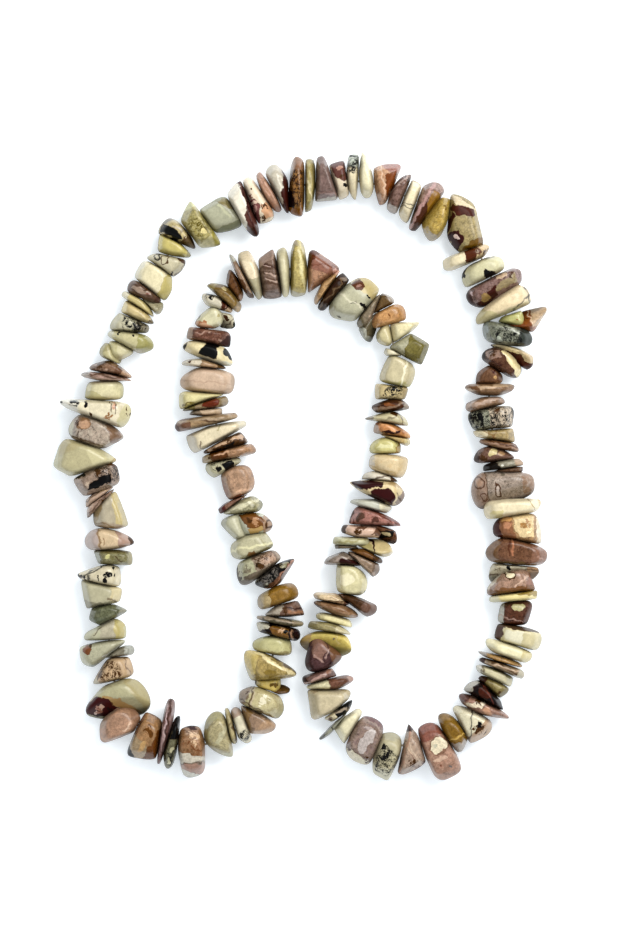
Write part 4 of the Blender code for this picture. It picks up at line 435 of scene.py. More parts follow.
  -3.4, 287.2 0; line .5,.4,.32 288.6 0 -72 .7; side .5,.44,.38 288.4 -2.8 -90; blob .46,.28,.18 289 1 .4
  1.4
.74,.67,.5; 289.8 4.4, 291 4.8, 293.4 5, 293.9 3, 294.2 0, 294.3 -3.4, 292 -2.6, 290.4 -2.9; blob umber
  291.2 2.6 .25 .2; side .6,.53,.38 293 -2 -80; net black 292.4 .2 2.2; fern black 292.6 .2 2; fern black
  293.6 -1.4 1
.75,.71,.58; 294 3, 294.6 4.2, 296.4 4.4, 300.2 3.2, 301.8 2.2, 301.4 0, 299.4 -3.4, 297.8 -4.5, 295.6 -4.2,
  293.6 -3.2; side .66,.63,.44 294.8 0 178; side .68,.66,.52 301 1 20; line .9,.88,.76 298.6 -2 -12 .5
run moss
.8,.77,.66; 301.7 2.3, 302.9 3, 304 2.1, 302.6 -.8, 301 -1.2
.45,.42,.25; 303 1.5, 304.2 .8, 305 -2.5, 305.3 -5, 303.6 -7, 302.2 -8.6, 301.2 -7.8, 299 -5.8, 299 -4.4,
  301.6 -.4; side .64,.63,.53 303 -3 60
.74,.7,.55; 304.3 1.4, 305.6 3.1, 307 3.5, 308.7 2.9, 309.8 .8, 309.4 -1, 305.2 -.6
.85,.81,.65; 304.6 .5, 309.2 -.7, 309 -2, 307.4 -6.5, 306.7 -8, 306 -7, 305.3 -4
run tan
.73,.55,.37; 309.8 2.2, 311.4 2.8, 312.8 2, 313.3 -.5, 312.6 -4.6, 311.5 -6.2, 310.4 -6.4, 308.3 -5.2, 308.4
  -4.4, 309.6 0; dots .66,.48,.32; side .66,.48,.34 312.4 1 30; blob .46,.28,.18 311 -2 .3 .3
.4,.37,.3; 307.4 4.7, 308.2 6, 310.2 6.4, 313.1 5.8, 313.5 -1, 312.6 -1.2; side .6,.6,.55 310 4.7 95
.5,.45,.38; 312.4 4.5, 313.2 5.8, 315.4 5.2, 316.2 3, 316.3 -1, 315.9 -3.9, 314.9 -3.6, 313.2 .5; side
  .4,.36,.28 314 4 70; line .76,.66,.58 313.6 1 -72 .45
.4,.32,.23; 313.3 1, 314.6 .4, 315.9 -4.2, 314.6 -5.2, 313.4 -5.6, 312.6 -5.1, 312.9 -1; side .58,.54,.5
  313.6 -4.4 -90
run olive
.68,.67,.57; 316.1 5.2, 318 6.4, 320 7, 322.5 7.6, 324.2 6.4, 325 4, 324.6 1.5, 322.4 -3.6, 320.4 -5.3,
  316.2 -4.6, 316 0; side .7,.64,.46 318 -1.6 -100; side .58,.56,.46 324 4 30; blob black 317.4 1.3 .9 .5;
  blob black 316.4 1 .4 .6; blob black 319.4 2 .5 .35; blob black 317.2 -1.3 .6 .25; blob .3,.28,.22 321.2
  6.6 .7 .4; patch .34,.22,.18 319.2 -2.4 320.4 -1.2 322.4 -1.4 321.6 -4 320.4 -3.8; blob .56,.42,.38 320.8
  -2.4 .6 .5; line .8,.78,.68 321 1.8 -6 .4
.22,.17,.13; 324.6 6.4, 326.4 7.5, 327.4 6.8, 327.2 2, 326.8 -1, 325.8 -3.5, 324 -3, 322.9 -2.4, 324 0; blob
  .42,.34,.27 324.6 -2.2 .8 .6; line .4,.33,.26 325.4 2 78 .3
.68,.54,.38; 327.4 6.4, 328.4 6.8, 329.3 5.4, 329.1 0, 328 -3.6, 326.2 -3.6, 326.7 0; line .5,.36,.24 326.9
  1 84 .3; side .76,.58,.5 327 -2 -90
run rose
.66,.5,.4; 330.2 4.6, 331.2 5.2, 332.2 3.8, 333.6 0, 334.4 -4.8, 333.8 -5.8, 330 -5, 326.5 -4, 326.2 -3,
  328.4 0; patch .52,.36,.31 328 -1 333.4 -1 334.2 -5.6 330 -5 327 -4; line .4,.24,.2 331 -2.6 20 .3; blob
  .76,.58,.52 327.4 -3 .7 .8; side .34,.2,.16 333.4 -2 -12; side .6,.54,.5 331 4.2 90; line .5,.34,.26 329.2
  1 60 .4
.68,.62,.4; 332 5.4, 333 6.2, 336 6.8, 337.4 6.4, 337.9 2, 337.9 -5, 337.4 -7.2, 336.4 -7.4, 335.6 -6.4,
  333.4 0; side .54,.48,.24 337 0 10; side .7,.68,.6 334 5.6 90; side .66,.62,.52 336.8 -5.8 -90; line
  .8,.76,.56 335.2 -1 -72 .9
.76,.73,.6; 338 6.4, 339.4 7.2, 340.4 6.8, 340.8 3, 341.2 -1, 341 -4.4, 340.2 -5.4, 339 -5.2, 338.2 -2,
  337.8 3
run mauve
.46,.38,.34; 340.4 6.6, 341.6 7.1, 344 7, 347.4 6, 345.7 -.5, 345.2 -3.2, 342.4 -4.9, 341.6 -5.2, 341 -2;
  bands .3,.23,.2 -20 .8; line .74,.64,.58 343 3 -24 .3 4; line .72,.62,.56 342.6 1.4 -26 .3 4; line
  .7,.6,.56 344 -1 -30 .3 3; side .6,.51,.46 342.4 -2.4 -70; line .22,.15,.13 342.6 -.6 -30 .35 4
.86,.8,.68; 346.6 5.4, 348 6.2, 349 6, 349.5 2, 349.4 -4, 348.8 -6.2, 347.4 -6.6, 346.2 -6.2, 345.5 0; side
  .63,.6,.49 347.5 1 90
.58,.48,.4; 349.3 4.8, 350.2 5.2, 351.4 4, 351.4 0, 350.6 -6.2, 350.2 -7.3, 349.6 -6, 349.3 0; side
  .32,.23,.18 350.6 1 10; side .66,.64,.58 350.4 -5 -90
run honey
.42,.29,.2; 351.4 2.4, 352.8 4, 354.2 4.2, 354.4 0, 354 -1.6, 352.2 -3.8, 351.6 -4, 351 -1; side .54,.4,.29
  352.6 2.8 90; side .5,.36,.26 351.8 -1.6 200
.5,.41,.26; 354.2 4.8, 355.8 6, 357.4 6, 358.8 4.4, 357.8 0, 358 -3.4, 357.6 -4.6, 356.4 -4.3, 354.1 -.8;
  blob .76,.7,.52 355.4 -.6 .5 .8; side .56,.5,.32 356.8 -2.6 -80; side .58,.48,.32 356 5 90
.82,.79,.7; 356.8 3.5, 358.2 4.6, 359.8 4.4, 360.3 2.5, 360.4 0, 360.9 -1.4, 359.8 -3.8, 358.8 -4, 358.2
  -2.6, 357.2 .5; side .76,.64,.5 358.5 3.4 90; blob .3,.18,.13 358.4 2.2 1.5 1.2; blob .6,.48,.42 358.6 2.6
  .5 .3; fern black 358.8 -2.2 1.6; ring black 358.7 -1.7 .6 .6 .25
run cream
.78,.75,.64; 359.8 4.9, 361 5.9, 363 6.7, 364.3 6.1, 365 3.8, 363.5 -1, 361.5 -1; fern umber 361.6 4 2; blob
  black 363.2 6.3 1 .4; blob .26,.18,.14 362 4.2 .7 .6; line umber 361.6 5.6 -20 .3
.8,.78,.65; 360 2.2, 362 3.4, 364.2 3.2, 365.8 1.4, 366.1 -1.4, 365.4 -3.4, 364.2 -3.2, 360.4 -.8; side
  .74,.58,.46 365 0 -10; fern .62,.42,.3 364.6 -1.6 1.2; line black 364.6 -3 -12 .3; blob .66,.62,.46 362
  1.8 .5 .3
.42,.29,.25; 365.6 4.8, 366.6 6, 371 6.3, 369.6 4, 368.8 0, 369.8 -4.6, 367.8 -4.9, 366.2 -4.4, 366 0; dots
  .52,.37,.32; side .62,.52,.45 368 -3.2 -90; line .66,.54,.48 367.2 -1 -80 .3 4; line .64,.52,.46 368.8 4.6
  70 .3 3; side .22,.15,.14 368.8 4.2 50
run cream
.87,.81,.64; 370.2 5, 372.6 6.8, 375 7.2, 375.5 5.8, 374.8 4.5, 373.8 0, 372.4 -4, 371.2 -5.5, 369.8 -4.6,
  368.7 -1; patch black 367.4 1.8 369.4 3.3 373.6 3.3 373.2 .6 372.6 -1.4 371 -.4 369.4 .6; patch black
  370.2 5.2 371.4 6.6 373.8 7 373.2 5.8 372.2 4.8; side .76,.75,.67 373 -1 -10; patch black 369.2 -4.2 371.4
  -5.6 372.4 -5.2 371 -4.9
.66,.54,.42; 375.2 5.4, 376.4 5.5, 376.2 3, 375.7 0, 375.6 -3.4, 375.1 -5.6, 374.4 -5.6, 373.8 -4, 373.5 0;
  side .34,.25,.16 375.2 3.4 80; side .78,.74,.66 374.4 -.6 -90; blob .3,.22,.19 374.6 -3.6 .6 .5
.76,.66,.57; 377 6, 378 7.4, 380 7.6, 383 6.6, 383.7 5.4, 382.4 0, 381 -4.5, 379.9 -6.2, 378 -6, 376 -2.4,
  375.5 0; side .64,.56,.48 379 6.6 90; side .66,.56,.47 382.6 2 10; line .66,.56,.48 379.4 -.4 80 .3
run cream
.83,.79,.59; 383.2 4, 384.6 4.4, 384.9 1, 385.2 -6.6, 384 -7.3, 381.4 -6.6, 380.9 -5, 382.2 -.5; patch
  .45,.38,.14 384.4 -1.4 385.6 -4 385 -6.8 383.4 -6.4 383.8 -3.6; side .76,.71,.46 384 1 0
.62,.54,.42; 384 4.4, 385.6 5, 386.8 4.2, 387 2, 386.2 -1, 385.4 -5.8, 384.9 -6.8, 383.6 -5, 383.8 0; side
  .5,.43,.32 385 2.6 90; blob .38,.19,.12 385 .8 1.3 2; side .44,.4,.26 385 -3.4 -90
.84,.74,.62; 387 2.8, 388.6 2.6, 388.2 0, 386.8 -2.6, 386 -5.4, 385.4 -4.4, 385.2 -3, 386.4 .5; side
  .54,.48,.41 386 -2.6 -90
.6,.5,.38; 389 5.2, 389.8 5.8, 391 5.6, 391 4.4, 390.3 0, 389.4 -5, 388.8 -9, 387.8 -9.9, 386.8 -9.2, 386.2
  -7.2, 387.8 -1; bands .42,.33,.26 66 1; line .26,.18,.14 389.6 0 66 .4; side .44,.32,.26 387.4 -6 -90;
  line .66,.58,.48 387.8 -4 72 .6; side .32,.22,.2 387.8 -9 -90
run cream
.85,.8,.68; 392.2 6.6, 393 7, 393.9 6.4, 394.6 0, 395.1 -7.6, 393.4 -8.6, 391.6 -8.4, 390 -8, 390 -1; side
  .78,.75,.66 392.4 5 90; side .8,.77,.7 392 -6.4 -90; line .62,.58,.44 391.6 .4 -60 .2 2; line umber 394.2
  -5.6 -12 .25 2.5
.32,.23,.17; 394.4 4.6, 395.6 5.4, 397.8 5.7, 397.1 3, 396.7 0, 396.4 -5.8, 395.2 -5.8, 394.4 0; patch
  .7,.58,.47 395 5 396 5 396.2 -4.6 395.2 -4.8; fern umber 395.6 1 1.6; fern umber 395.8 -3 1.6; patch
  .08,.05,.04 396.3 2.4 397 2 397.4 -3 396.6 -3.4; side .5,.42,.36 396 5.2 90
.62,.48,.37; 397.8 6, 399.2 6.9, 400.4 6.6, 400.7 4, 399.8 0, 399 -6.8, 397.4 -6.9, 396.6 -6.4, 396.6 -1;
  side .34,.22,.16 398.2 -.4 -100; line .78,.62,.5 397.7 -1.6 84 .45 4; side .58,.5,.38 398.4 -4.4 -90; fern
  umber 397.4 -4.6 1
run rose
.72,.7,.58; 400.2 2.4, 402 2.4, 402.1 -2, 403.4 -4.6, 401.8 -6.4, 400 -6.8, 398.8 -6, 399 -1; net black
  399.4 -2.4 2.8; patch black 400 .4 401.8 .4 402 -2.2 400.4 -2.4; blob black 401 -3.6 .7 .6; blob black
  398.9 1.4 .5 .6; fern black 399.4 2 1.2
.67,.54,.44; 402.2 2.4, 403.4 3.8, 405.5 4.1, 408.2 3.4, 409.4 2, 409.8 -3.6, 408 -4.2, 403.6 -4, 401.8
  -3.2, 401.8 0; line .8,.65,.54 408.3 0 86 .5 4.6; side .46,.29,.23 409 0 0; side .54,.4,.33 405 -3.5 -88
.47,.35,.3; 409.4 1.4, 410.4 .8, 411 -3, 413 -5.8, 412.2 -7, 410.8 -7, 409.9 -5.2, 409.4 -2; side
  .32,.18,.18 411 -5 -90
run olive
.64,.62,.5; 410.1 2.2, 411 3.3, 412.6 4.2, 413.8 3.4, 414.4 1.8, 413.9 -1.4, 413.4 -4.6, 412.4 -6, 410.8 -5,
  410.1 -2; side .5,.49,.4 411 3 100; side .54,.52,.38 413.2 1 0; line .8,.78,.66 411.6 -.5 -84 .8
.73,.73,.65; 414.8 3.2, 416.5 4.8, 418 5.4, 419.6 4.4, 420 3, 419.3 -2.4, 417.6 -1.8, 413.8 -3, 413.7 0;
  patch .42,.28,.18 413.4 .6 415.6 3.4 418.4 3.8 419 1 417.6 -.8 415.4 -1.8 413.8 -2.8; patch .66,.54,.34
  417.8 3 418.8 3.6 419.4 -1 418.2 -.6; side .58,.47,.38 417 3.4 80; ring umber 418 4.7 1 .8 .5; fern
  .66,.5,.37 416.4 1.2 2; fern umber 415.6 0 1.6
.72,.71,.61; 414.4 1, 418.6 1, 419.9 -4.8, 418.2 -5.8, 416.3 -6.4, 415.2 -7.3, 414 -6.6, 413.4 -4; side
  .64,.64,.58 414.6 -5.6 -110; fern .62,.6,.46 415 -1.6 1
run olive
.71,.69,.57; 419.4 3, 421.4 3.8, 423.2 4.3, 424.2 3.2, 424.6 -1, 424.6 -4, 423.4 -6.4, 422 -6.6, 420.4 -5.6,
  419.2 -2; side .5,.48,.34 423.6 2 10; patch .46,.34,.22 423.3 -.6 424.5 -.2 424.5 -2.6 423.5 -2; line
  .84,.82,.66 422.4 0 84 .6
.62,.55,.48; 424.5 3.8, 425.8 4.9, 428.4 4.9, 428.9 0, 430.8 -3.4, 430.4 -6.6, 429 -7.2, 426.6 -6.8, 424.6
  -5, 424.3 0; dots .42,.35,.29; blob .68,.57,.49 426.4 2 1.4 2; net umber 426.4 1 3; side .64,.63,.52 427.5
  -2 -95; blob .18,.16,.15 427 -1 .8 .8; fern umber 427.6 -.6 2; side .28,.26,.23 428.4 -6.1 -90; side
  .4,.36,.31 428.6 2 0; fern .44,.41,.34 427 -4 2
.12,.1,.1; 428.5 5, 429 7.8, 429.6 7.8, 431.4 5, 433.2 2.4, 433.8 -.6, 433 -2, 431.6 -3.6, 430.4 -3.2, 428.8
  0; net .4,.38,.36 430 0 3; side .38,.27,.22 432 1.4 25; blob .5,.48,.38 429.4 5 .5 1.4; line .7,.52,.44
  431 4.2 -58 .35; blob .78,.78,.72 430.3 -3 .5 .5; blob .74,.74,.68 432.4 -.6 .3 .4
run honey
.54,.41,.21; 433.6 4.6, 434.4 6, 436.4 6.3, 437.2 5.4, 438 1, 438.9 -3, 438.2 -4.2, 436.2 -4.3, 434.6 -3.6,
  433.5 0; side .42,.29,.1 437.6 2 5; side .68,.6,.44 436.5 -1 -90; side .6,.54,.44 436 -3 -90
.44,.35,.31; 437.6 5.6, 439.6 7, 440.8 7.2, 441.1 3, 441 -1, 440.6 -2.8, 439.8 -2.2, 438.1 .4; side
  .28,.2,.18 440.8 2 0; side .64,.6,.54 439.4 1.6 -120; line .6,.44,.34 440 5 80 .6 4; line .18,.13,.12 439
  4.6 80 .5 4; fern umber 439.4 2.4 1.6
.34,.32,.26; 441.7 5.8, 442.4 7, 443.2 6.4, 443.4 4, 443 0, 441.9 -3, 441.4 -4.8, 440.4 -4.6, 440.6 -1; side
  .5,.47,.36 442.4 4 90; side .5,.44,.38 441.4 -3.4 -95; line .6,.54,.46 441.2 -1 78 .6
run umber
.16,.1,.07; 443.4 5.2, 445 6.3, 446.4 6, 447.2 4.6, 446.2 2, 445.7 -.5, 446 -3.4, 444.6 -3.4, 443.6 -4.8,
  442.2 -4.8, 442.2 -1; patch .42,.3,.18 442.8 0 443.4 3.6 446 3.6 445.6 -1 443.6 -1.6; fern .72,.58,.44 444
  1.4 1.8; fern black 444.6 3 1.5; line .62,.48,.38 445.2 4.4 6 .35 2.6; patch .72,.7,.62 442.2 -1.8 443.4
  -1.4 444.8 -4.6 442.6 -5.2
.75,.73,.54; 445.4 3.4, 447.2 4.4, 449.6 4.6, 450.4 3, 450.5 -1, 450.2 -4.6, 449 -5.5, 447.6 -5.3, 446.2 -3,
  445.4 0; side .6,.56,.4 449.8 0 8; side .62,.58,.44 448 4 88; side .7,.68,.5 447 -3 -80
.63,.55,.35; 452.8 5.4, 453.8 6.7, 454.6 6.2, 455.8 4.4, 458.8 -3, 457.6 -4.6, 455.5 -6, 451.4 -7.1, 450.2
  -6.4, 450.2 -2; side .76,.68,.43 454 -3.6 -90; side .74,.7,.56 456.6 -4.2 -45; patch .5,.42,.22 454.4 3
  456 .4 455 -1.6 454 1; side .34,.27,.14 451.4 1 160; line .9,.84,.66 452 0 72 .8
run khaki
.78,.69,.39; 456.4 3.5, 457.6 3.7, 459.4 3.4, 459.4 0, 459.9 -2.4, 457.9 -2.8, 456.2 -.5, 455.4 2.8; dots
  .78,.71,.48; side .7,.64,.44 458.4 3.4 60; side .34,.27,.16 458.8 -2 -60; fern .36,.28,.12 457.4 2 1.4
.37,.28,.19; 456.9 4.8, 457.3 6.3, 458.3 6.2, 459.3 4, 459 -.8, 457.8 -.8
.74,.7,.54; 459.4 4.2, 461 6.2, 463 6.8, 464.6 6.2, 465.1 3, 465 -1, 466 -3.4, 464 -5, 462.4 -5.2, 460.6 -4,
  459.1 -2; dots .56,.5,.37; side .62,.58,.42 462 5.4 95; fern .88,.85,.74 462 1.4 2.6; side .5,.43,.36 462
  -3 -88; line umber 462.4 -2.2 12 .6; line .74,.68,.58 462.4 -1.7 12 .2; fern umber 461.4 -3.6 .9; line
  umber 464.4 2 84 .35
.58,.48,.4; 465.2 6.4, 466.2 7.1, 467.4 6.4, 469.2 4, 469.9 2.8, 468.6 0, 467 -2.6, 465.8 -3.2, 464.7 0;
  side .5,.39,.26 467.2 .6 -60; side .54,.46,.37 466.4 -2 -90; line .82,.68,.56 465.2 1 -84 .35 5; side
  .66,.54,.43 467 3.4 80
run olive
.81,.78,.68; 470.2 4, 470.8 4.6, 472 4.2, 472.6 2, 472 -.5, 470.4 -3.8, 469 -4.6, 467.4 -4.2, 467 -3, 468.4
  0; side .64,.56,.5 469 -2.4 -100; net black 471.2 2.6 1.7; fern black 471.4 2 1.4
.67,.62,.46; 473 2.4, 473.8 2.9, 474.4 2, 473.6 -1, 472 -3.6, 471 -5.6, 470 -5.8, 469.6 -5, 471.5 -.8; bands
  .38,.3,.2 62 .9; line umber 471.6 -1.4 62 .4
.65,.61,.47; 475 4.2, 475.7 5.3, 476.6 4.8, 478.6 2.4, 480.3 -.5, 480.2 -3, 478.4 -5.6, 476 -6.7, 473.6
  -6.7, 472.2 -5.6, 472.3 -3.4; side .66,.64,.52 475.6 3.6 90; side .56,.53,.38 478.6 -2 -20; side
  .58,.55,.38 474.6 -5 -90; line .7,.68,.56 475.4 -1 40 1.2 5
run rust
.57,.43,.32; 481.4 6.4, 482.2 7.4, 484.4 8.1, 485.4 7, 487.3 0, 487.3 -3.6, 485.4 -4.8, 483 -5, 481 -4.4,
  480.1 -1; dots .44,.29,.2; fern .82,.7,.57 483 -2.4 3; line .38,.23,.16 483.8 -1.6 40 .3 3; line
  .38,.23,.16 482.6 .6 -30 .3 3; side .22,.14,.1 483.4 -4.4 -90; side .73,.7,.64 483.6 2 80; side
  .61,.48,.42 483 4.2 92; side .74,.73,.68 484 6.2 70; line umber 483.2 4.1 4 .35
.42,.41,.33; 487.4 5, 488.2 6.6, 489.2 6, 490.1 3, 490.2 -1, 490 -5.6, 488.8 -7, 487.9 -6.6, 487.2 0; side
  .1,.09,.07 488.8 -1.4 -80; side .3,.28,.22 489.6 1 0; line black 488 3 84 .6 5; blob .74,.72,.6 488.7 4.4
  .5 1; blob .66,.64,.52 488.3 1.4 .4 .8; fern black 488.6 2.8 1.6
.42,.31,.3; 490 5, 490.5 6.1, 491.1 5.2, 492.3 0, 494.6 -7.4, 496 -9.8, 492.4 -10.5, 491.2 -9.6, 490 -5;
  bands .6,.5,.49 -68 .7; side .48,.38,.36 492 -8.6 -90; line .76,.66,.66 491 -1 -70 .3; line .72,.62,.6
  492.4 -3.4 -62 .25; line .24,.17,.16 490.4 1 -74 .6
run honey
.6,.46,.33; 491.4 4.9, 492.6 5.8, 496.2 7.3, 496.8 6.2, 498.9 -1, 500.2 -3.6, 498 -4.4, 494.4 -4.7, 492.8
  -4, 491.7 0; side .58,.5,.39 496 2 75; side .38,.24,.14 493.4 2 182; blob .7,.56,.38 494.8 3.4 .8 1.6;
  blob .36,.24,.14 494.7 -.4 .6 .8; side .12,.1,.08 496.6 5.4 60; side .44,.3,.17 495 -4.2 -90; side
  .52,.39,.31 498 0 0; fern umber 498.6 -1 1.4; fern .36,.24,.14 495.6 -1 2
.66,.52,.43; 500 8.6, 500.7 9.6, 501.4 9.4, 503.8 7, 504.6 4, 504.4 0, 503.4 -1.4, 500.4 -2, 499 -1.4, 498.1
  1.5; side .56,.43,.35 501 -.4 -90; side .58,.46,.38 499.4 5 175; side .6,.5,.42 503.6 5 20; line
  .86,.74,.64 499.8 2 -70 .4 3
.67,.65,.52; 503.9 6.6, 505.6 8.8, 507 9.4, 508.2 8.6, 510.7 3, 511.1 -3.2, 509.6 -5.6, 506 -6.8, 502.8
  -6.5, 500.4 -5, 499.6 -3.2; side .64,.6,.45 505 -3.6 -80; patch .62,.5,.33 500 -2.6 503.6 .6 508.8 4.6
  508.4 2.2 505.6 -.6 502 -2.6; patch .62,.58,.48 508 9.4 509.4 8 509.6 5 508.8 5; patch .25,.11,.09 503.2
  3.2 505 7 506.4 9.6 508.6 8.6 509 4.6 507.6 2.8 505.6 2 504 1.2 503 1; blob .8,.68,.62 506 7 .5 .5; blob
  .76,.62,.54 506.6 5.2 .7 .6; blob .74,.6,.5 504.4 2.4 .6 .9; fern .6,.4,.32 506.4 6 1.6; fern .16,.07,.06
  505 3.4 1.8
run sand
.74,.63,.5; 511.4 4, 511.8 5.3, 512.6 4.6, 514.6 2.2, 517.1 .5, 517.3 -1, 516.8 -4.6, 514.6 -5.4, 512 -5.3,
  511.1 -4.2; net umber 513.6 1 3.4; side .7,.66,.57 512 3.6 120; line umber 513.6 3 -35 .4 3; line
  .4,.3,.22 513.6 -4.2 6 .3
.68,.67,.57; 515 3.6, 516 6.7, 517 7.6, 520.4 7.3, 521 5, 521.6 0, 521.4 -3.6, 520.4 -4.5, 519.4 -3.4; side
  .58,.6,.54 515.8 3 180; blob .44,.27,.18 519.6 5.6 1 1; blob umber 520.2 4.6 .5 .4; line .82,.82,.78 518.8
  -.6 -62 .4 5
.48,.46,.4; 516.9 1.2, 517.9 1.5, 519.9 -3.8, 519.8 -5.6, 518.6 -6.2, 517.4 -5.6, 517.1 -3; side .6,.6,.56
  518 -4 -90
run cream
.69,.66,.57; 521.6 5.8, 522.4 6.3, 523.6 5.4, 524.8 2.8, 526.9 -1, 526.6 -2.8, 525.2 -4.3, 523 -4.5, 521.6
  -4, 521.4 0; side .7,.69,.58 524 1.8 90; side .68,.63,.42 524 -1.6 -88; side .7,.68,.54 524 -3.8 -90; line
  umber 524 2.6 -42 .2 3
.42,.43,.34; 526 3, 526.6 4.9, 528 4.2, 530 4, 530.6 1, 530.4 -1.6, 529 -4.6, 528.3 -4, 526.7 -1, 525.2 1.8;
  dots .3,.31,.25; side .36,.38,.31 527 2 180; side .5,.49,.42 528.6 -3 -90
.68,.66,.55; 529 5.6, 531 6.2, 534 7, 536.4 7, 535.2 0, 534.6 -3, 532.6 -3.2, 531 -2.6, 530.2 0; side
  .78,.73,.58 533 -.6 -90; side .5,.48,.4 530.8 2 170; line .4,.34,.25 531.4 -1.2 62 .4 3
run cream
.8,.76,.65; 536.4 6.6, 537.9 8, 538.6 6.6, 539.4 4, 540.8 0, 540 -2.4, 537 -3, 535 -2.6, 534.9 -1; line
  black 536.8 4.9 -6 .5 2.4; blob black 537 6 .7 .4; blob black 537.6 7.5 .35 .5; blob black 536.5 .7 .8 .3;
  blob black 538.3 -1.4 .45 .35; blob black 539.4 -1 .4 .35; line black 539 3.6 -62 .5; fern black 537 2.6
  1; fern black 538 .4 1.4; line umber 535.4 2.4 70 .4
.51,.49,.36; 540 2.6, 542 3.2, 544.2 4, 544.3 0, 543.6 -5.2, 542 -5.8, 540.2 -5.4, 539.9 -2; dots
  .38,.35,.2; blob .74,.72,.5 542.3 .4 .5 .6; side .62,.63,.58 542 2 90; side .4,.37,.25 543.6 0 0; side
  .55,.52,.38 542 -4.8 -90; line umber 541.8 -2.4 60 .25 2
.8,.71,.58; 543.9 4, 544.8 5.6, 546.6 6.2, 549 5.2, 549.9 3.5, 549.7 0, 548 -3.8, 546.2 -6.2, 545.2 -6.2,
  544.6 -4, 543.9 0; side .68,.62,.59 546.5 2.4 92; line .46,.35,.24 547 2.2 6 .4; line .5,.38,.26 546.4 1.2
  4 .2 2; side .64,.53,.47 546.6 -2.2 -80; side umber 546.4 -5 -85
run sand
.7,.66,.57; 550.6 2.8, 552 3.3, 554.4 2.6, 556.8 .5, 557.8 -2.6, 558.4 -3.8, 556 -4.4, 552 -5.1, 549.6 -5.2,
  549 -3.6, 549.3 -.4; side .72,.66,.48 554 -2.4 -90; side .68,.64,.52 553 -4 -90; side .62,.56,.48 550.8 0
  160; side .6,.53,.4 556 0 60; line .46,.38,.26 550.6 .4 62 .25 5
.62,.52,.46; 552.6 3.6, 553.2 4.6, 555.2 4.2, 556.4 3, 558.4 -1, 559.2 -3.4, 558.2 -3.4, 556 0; line
  .74,.64,.56 556 2.6 -52 .4; line umber 555.4 2 -52 .3; fern umber 556.4 0 1.4
.7,.6,.52; 555.6 4.4, 557.4 4.2, 559.2 1, 560 -2.6, 559.2 -3.2, 557.4 0; bands .52,.41,.34 -60 .7; blob
  .88,.76,.6 559 0 .5 1.3; line umber 558.2 1.6 -60 .3
run mauve
.6,.52,.46; 558 4.2, 559.6 5.6, 562.6 6.6, 563.4 5, 564.9 0, 566 -2, 565.4 -4.2, 563.6 -4.4, 561.2 -5, 560
  -4, 558.8 0; dots .44,.37,.31; side .54,.47,.41 561.4 -4.4 -100; patch .1,.07,.06 559.6 3 560.8 2.4 563
  -.4 563 -3.4 561.4 -3.2 560 -.6; patch black 562.4 5.6 563 6.2 564 3.4 563.2 3.4; net black 563.4 -2 3;
  fern umber 564 .2 1.8; side .3,.2,.14 565.4 -1 -10; fern .74,.66,.58 561 3 1.4
.7,.67,.53; 563.2 7.2, 565 10.4, 565.8 11.4, 567.8 10.8, 570.8 9.4, 571.7 8, 569.8 0, 568.2 -2.6, 566.8
  -4.4, 565.8 -4.2, 564.9 -1; side .75,.72,.57 566.6 1.8 -75; side .64,.6,.46 569.6 5 20; side .66,.58,.4
  566 -3 -120; side .72,.71,.6 566 10.4 80
.66,.6,.54; 571.8 6.6, 573.4 7.8, 575.2 7.4, 577 6, 577.8 3.6, 577 0, 575.8 -3, 574.4 -5, 572.8 -6.1, 571.6
  -4.8, 569.6 -1; dots .74,.69,.62; side .74,.72,.64 574 6.6 95; blob .5,.38,.28 575.4 4.2 1.7 1.8; blob
  .7,.56,.45 575.2 3.9 1.1 1.2; fern umber 575.4 5.6 1.4; side .48,.38,.31 573.4 -2.6 -70; side umber 576.8
  -1.6 -30; side .64,.6,.56 572.8 -5.2 -90; line umber 570.6 1 74 .5; line umber 572.6 5 -10 .25 1.6
run cream
.86,.82,.71; 577.4 6.4, 578.9 10.4, 579.4 10.9, 580.2 9.6, 581.8 0, 582.4 -5.4, 581.6 -6.8, 579 -7.3, 576.6
  -6.6, 575 -4.6, 576.4 -1; side .82,.8,.74 579 6 90; side .78,.75,.6 578 -4.8 -100; blob black 579.3 10.5
  .35 .25; net black 579.7 7 1.1; blob black 579.9 7.2 .4 .7; blob black 579.9 4.2 .9 .5; blob umber 577.8
  2.2 .4 .3; blob .76,.6,.5 580.8 -2.8 1 .5; line umber 580.6 -2 8 .35 3; line umber 580.2 -3.4 8 .35 2.6;
  fern .55,.4,.28 577.6 -2 1.6; fern umber 579.2 -6.8 1; blob umber 580.9 -6.2 .4 .25
.82,.79,.64; 581.2 4.9, 584.8 5.2, 585.6 4, 587.2 0, 587.4 -2, 586.8 -3.8, 583.4 -4.3, 582.6 -3, 581.5 1;
  side .7,.67,.5 582.8 1 172; side .74,.72,.58 584.6 -3.4 -90; side .7,.68,.56 585.6 4.4 80
.6,.49,.44; 585.8 6.4, 586.2 7.3, 587.2 6, 588.7 0, 589 -3, 588.8 -5.2, 588 -5.2, 586.3 0; side .62,.58,.54
  586.4 5 100; side .54,.46,.36 588 -3.4 -80; line .72,.6,.55 587 1 -74 .5; line umber 588.2 -1 -78 .4
run mauve
.5,.39,.32; 587.6 5.8, 589 5.9, 590 4.6, 591.6 2, 591.6 0, 590.9 -2.6, 590.2 -4.8, 589 -5.1, 588.3 0; side
  .4,.29,.23 589.4 -.4 -95; side .68,.55,.44 589.3 -2 -90; fern umber 589.8 3.4 2; side umber 590.4 2.4 20;
  line .72,.6,.52 588.6 3 -70 .4 4
.71,.68,.52; 591.4 3.4, 592 4.7, 593.4 5.1, 595.4 4.4, 595.4 0, 593.6 -1, 591.3 -.4; side .6,.57,.42 594 3
  60
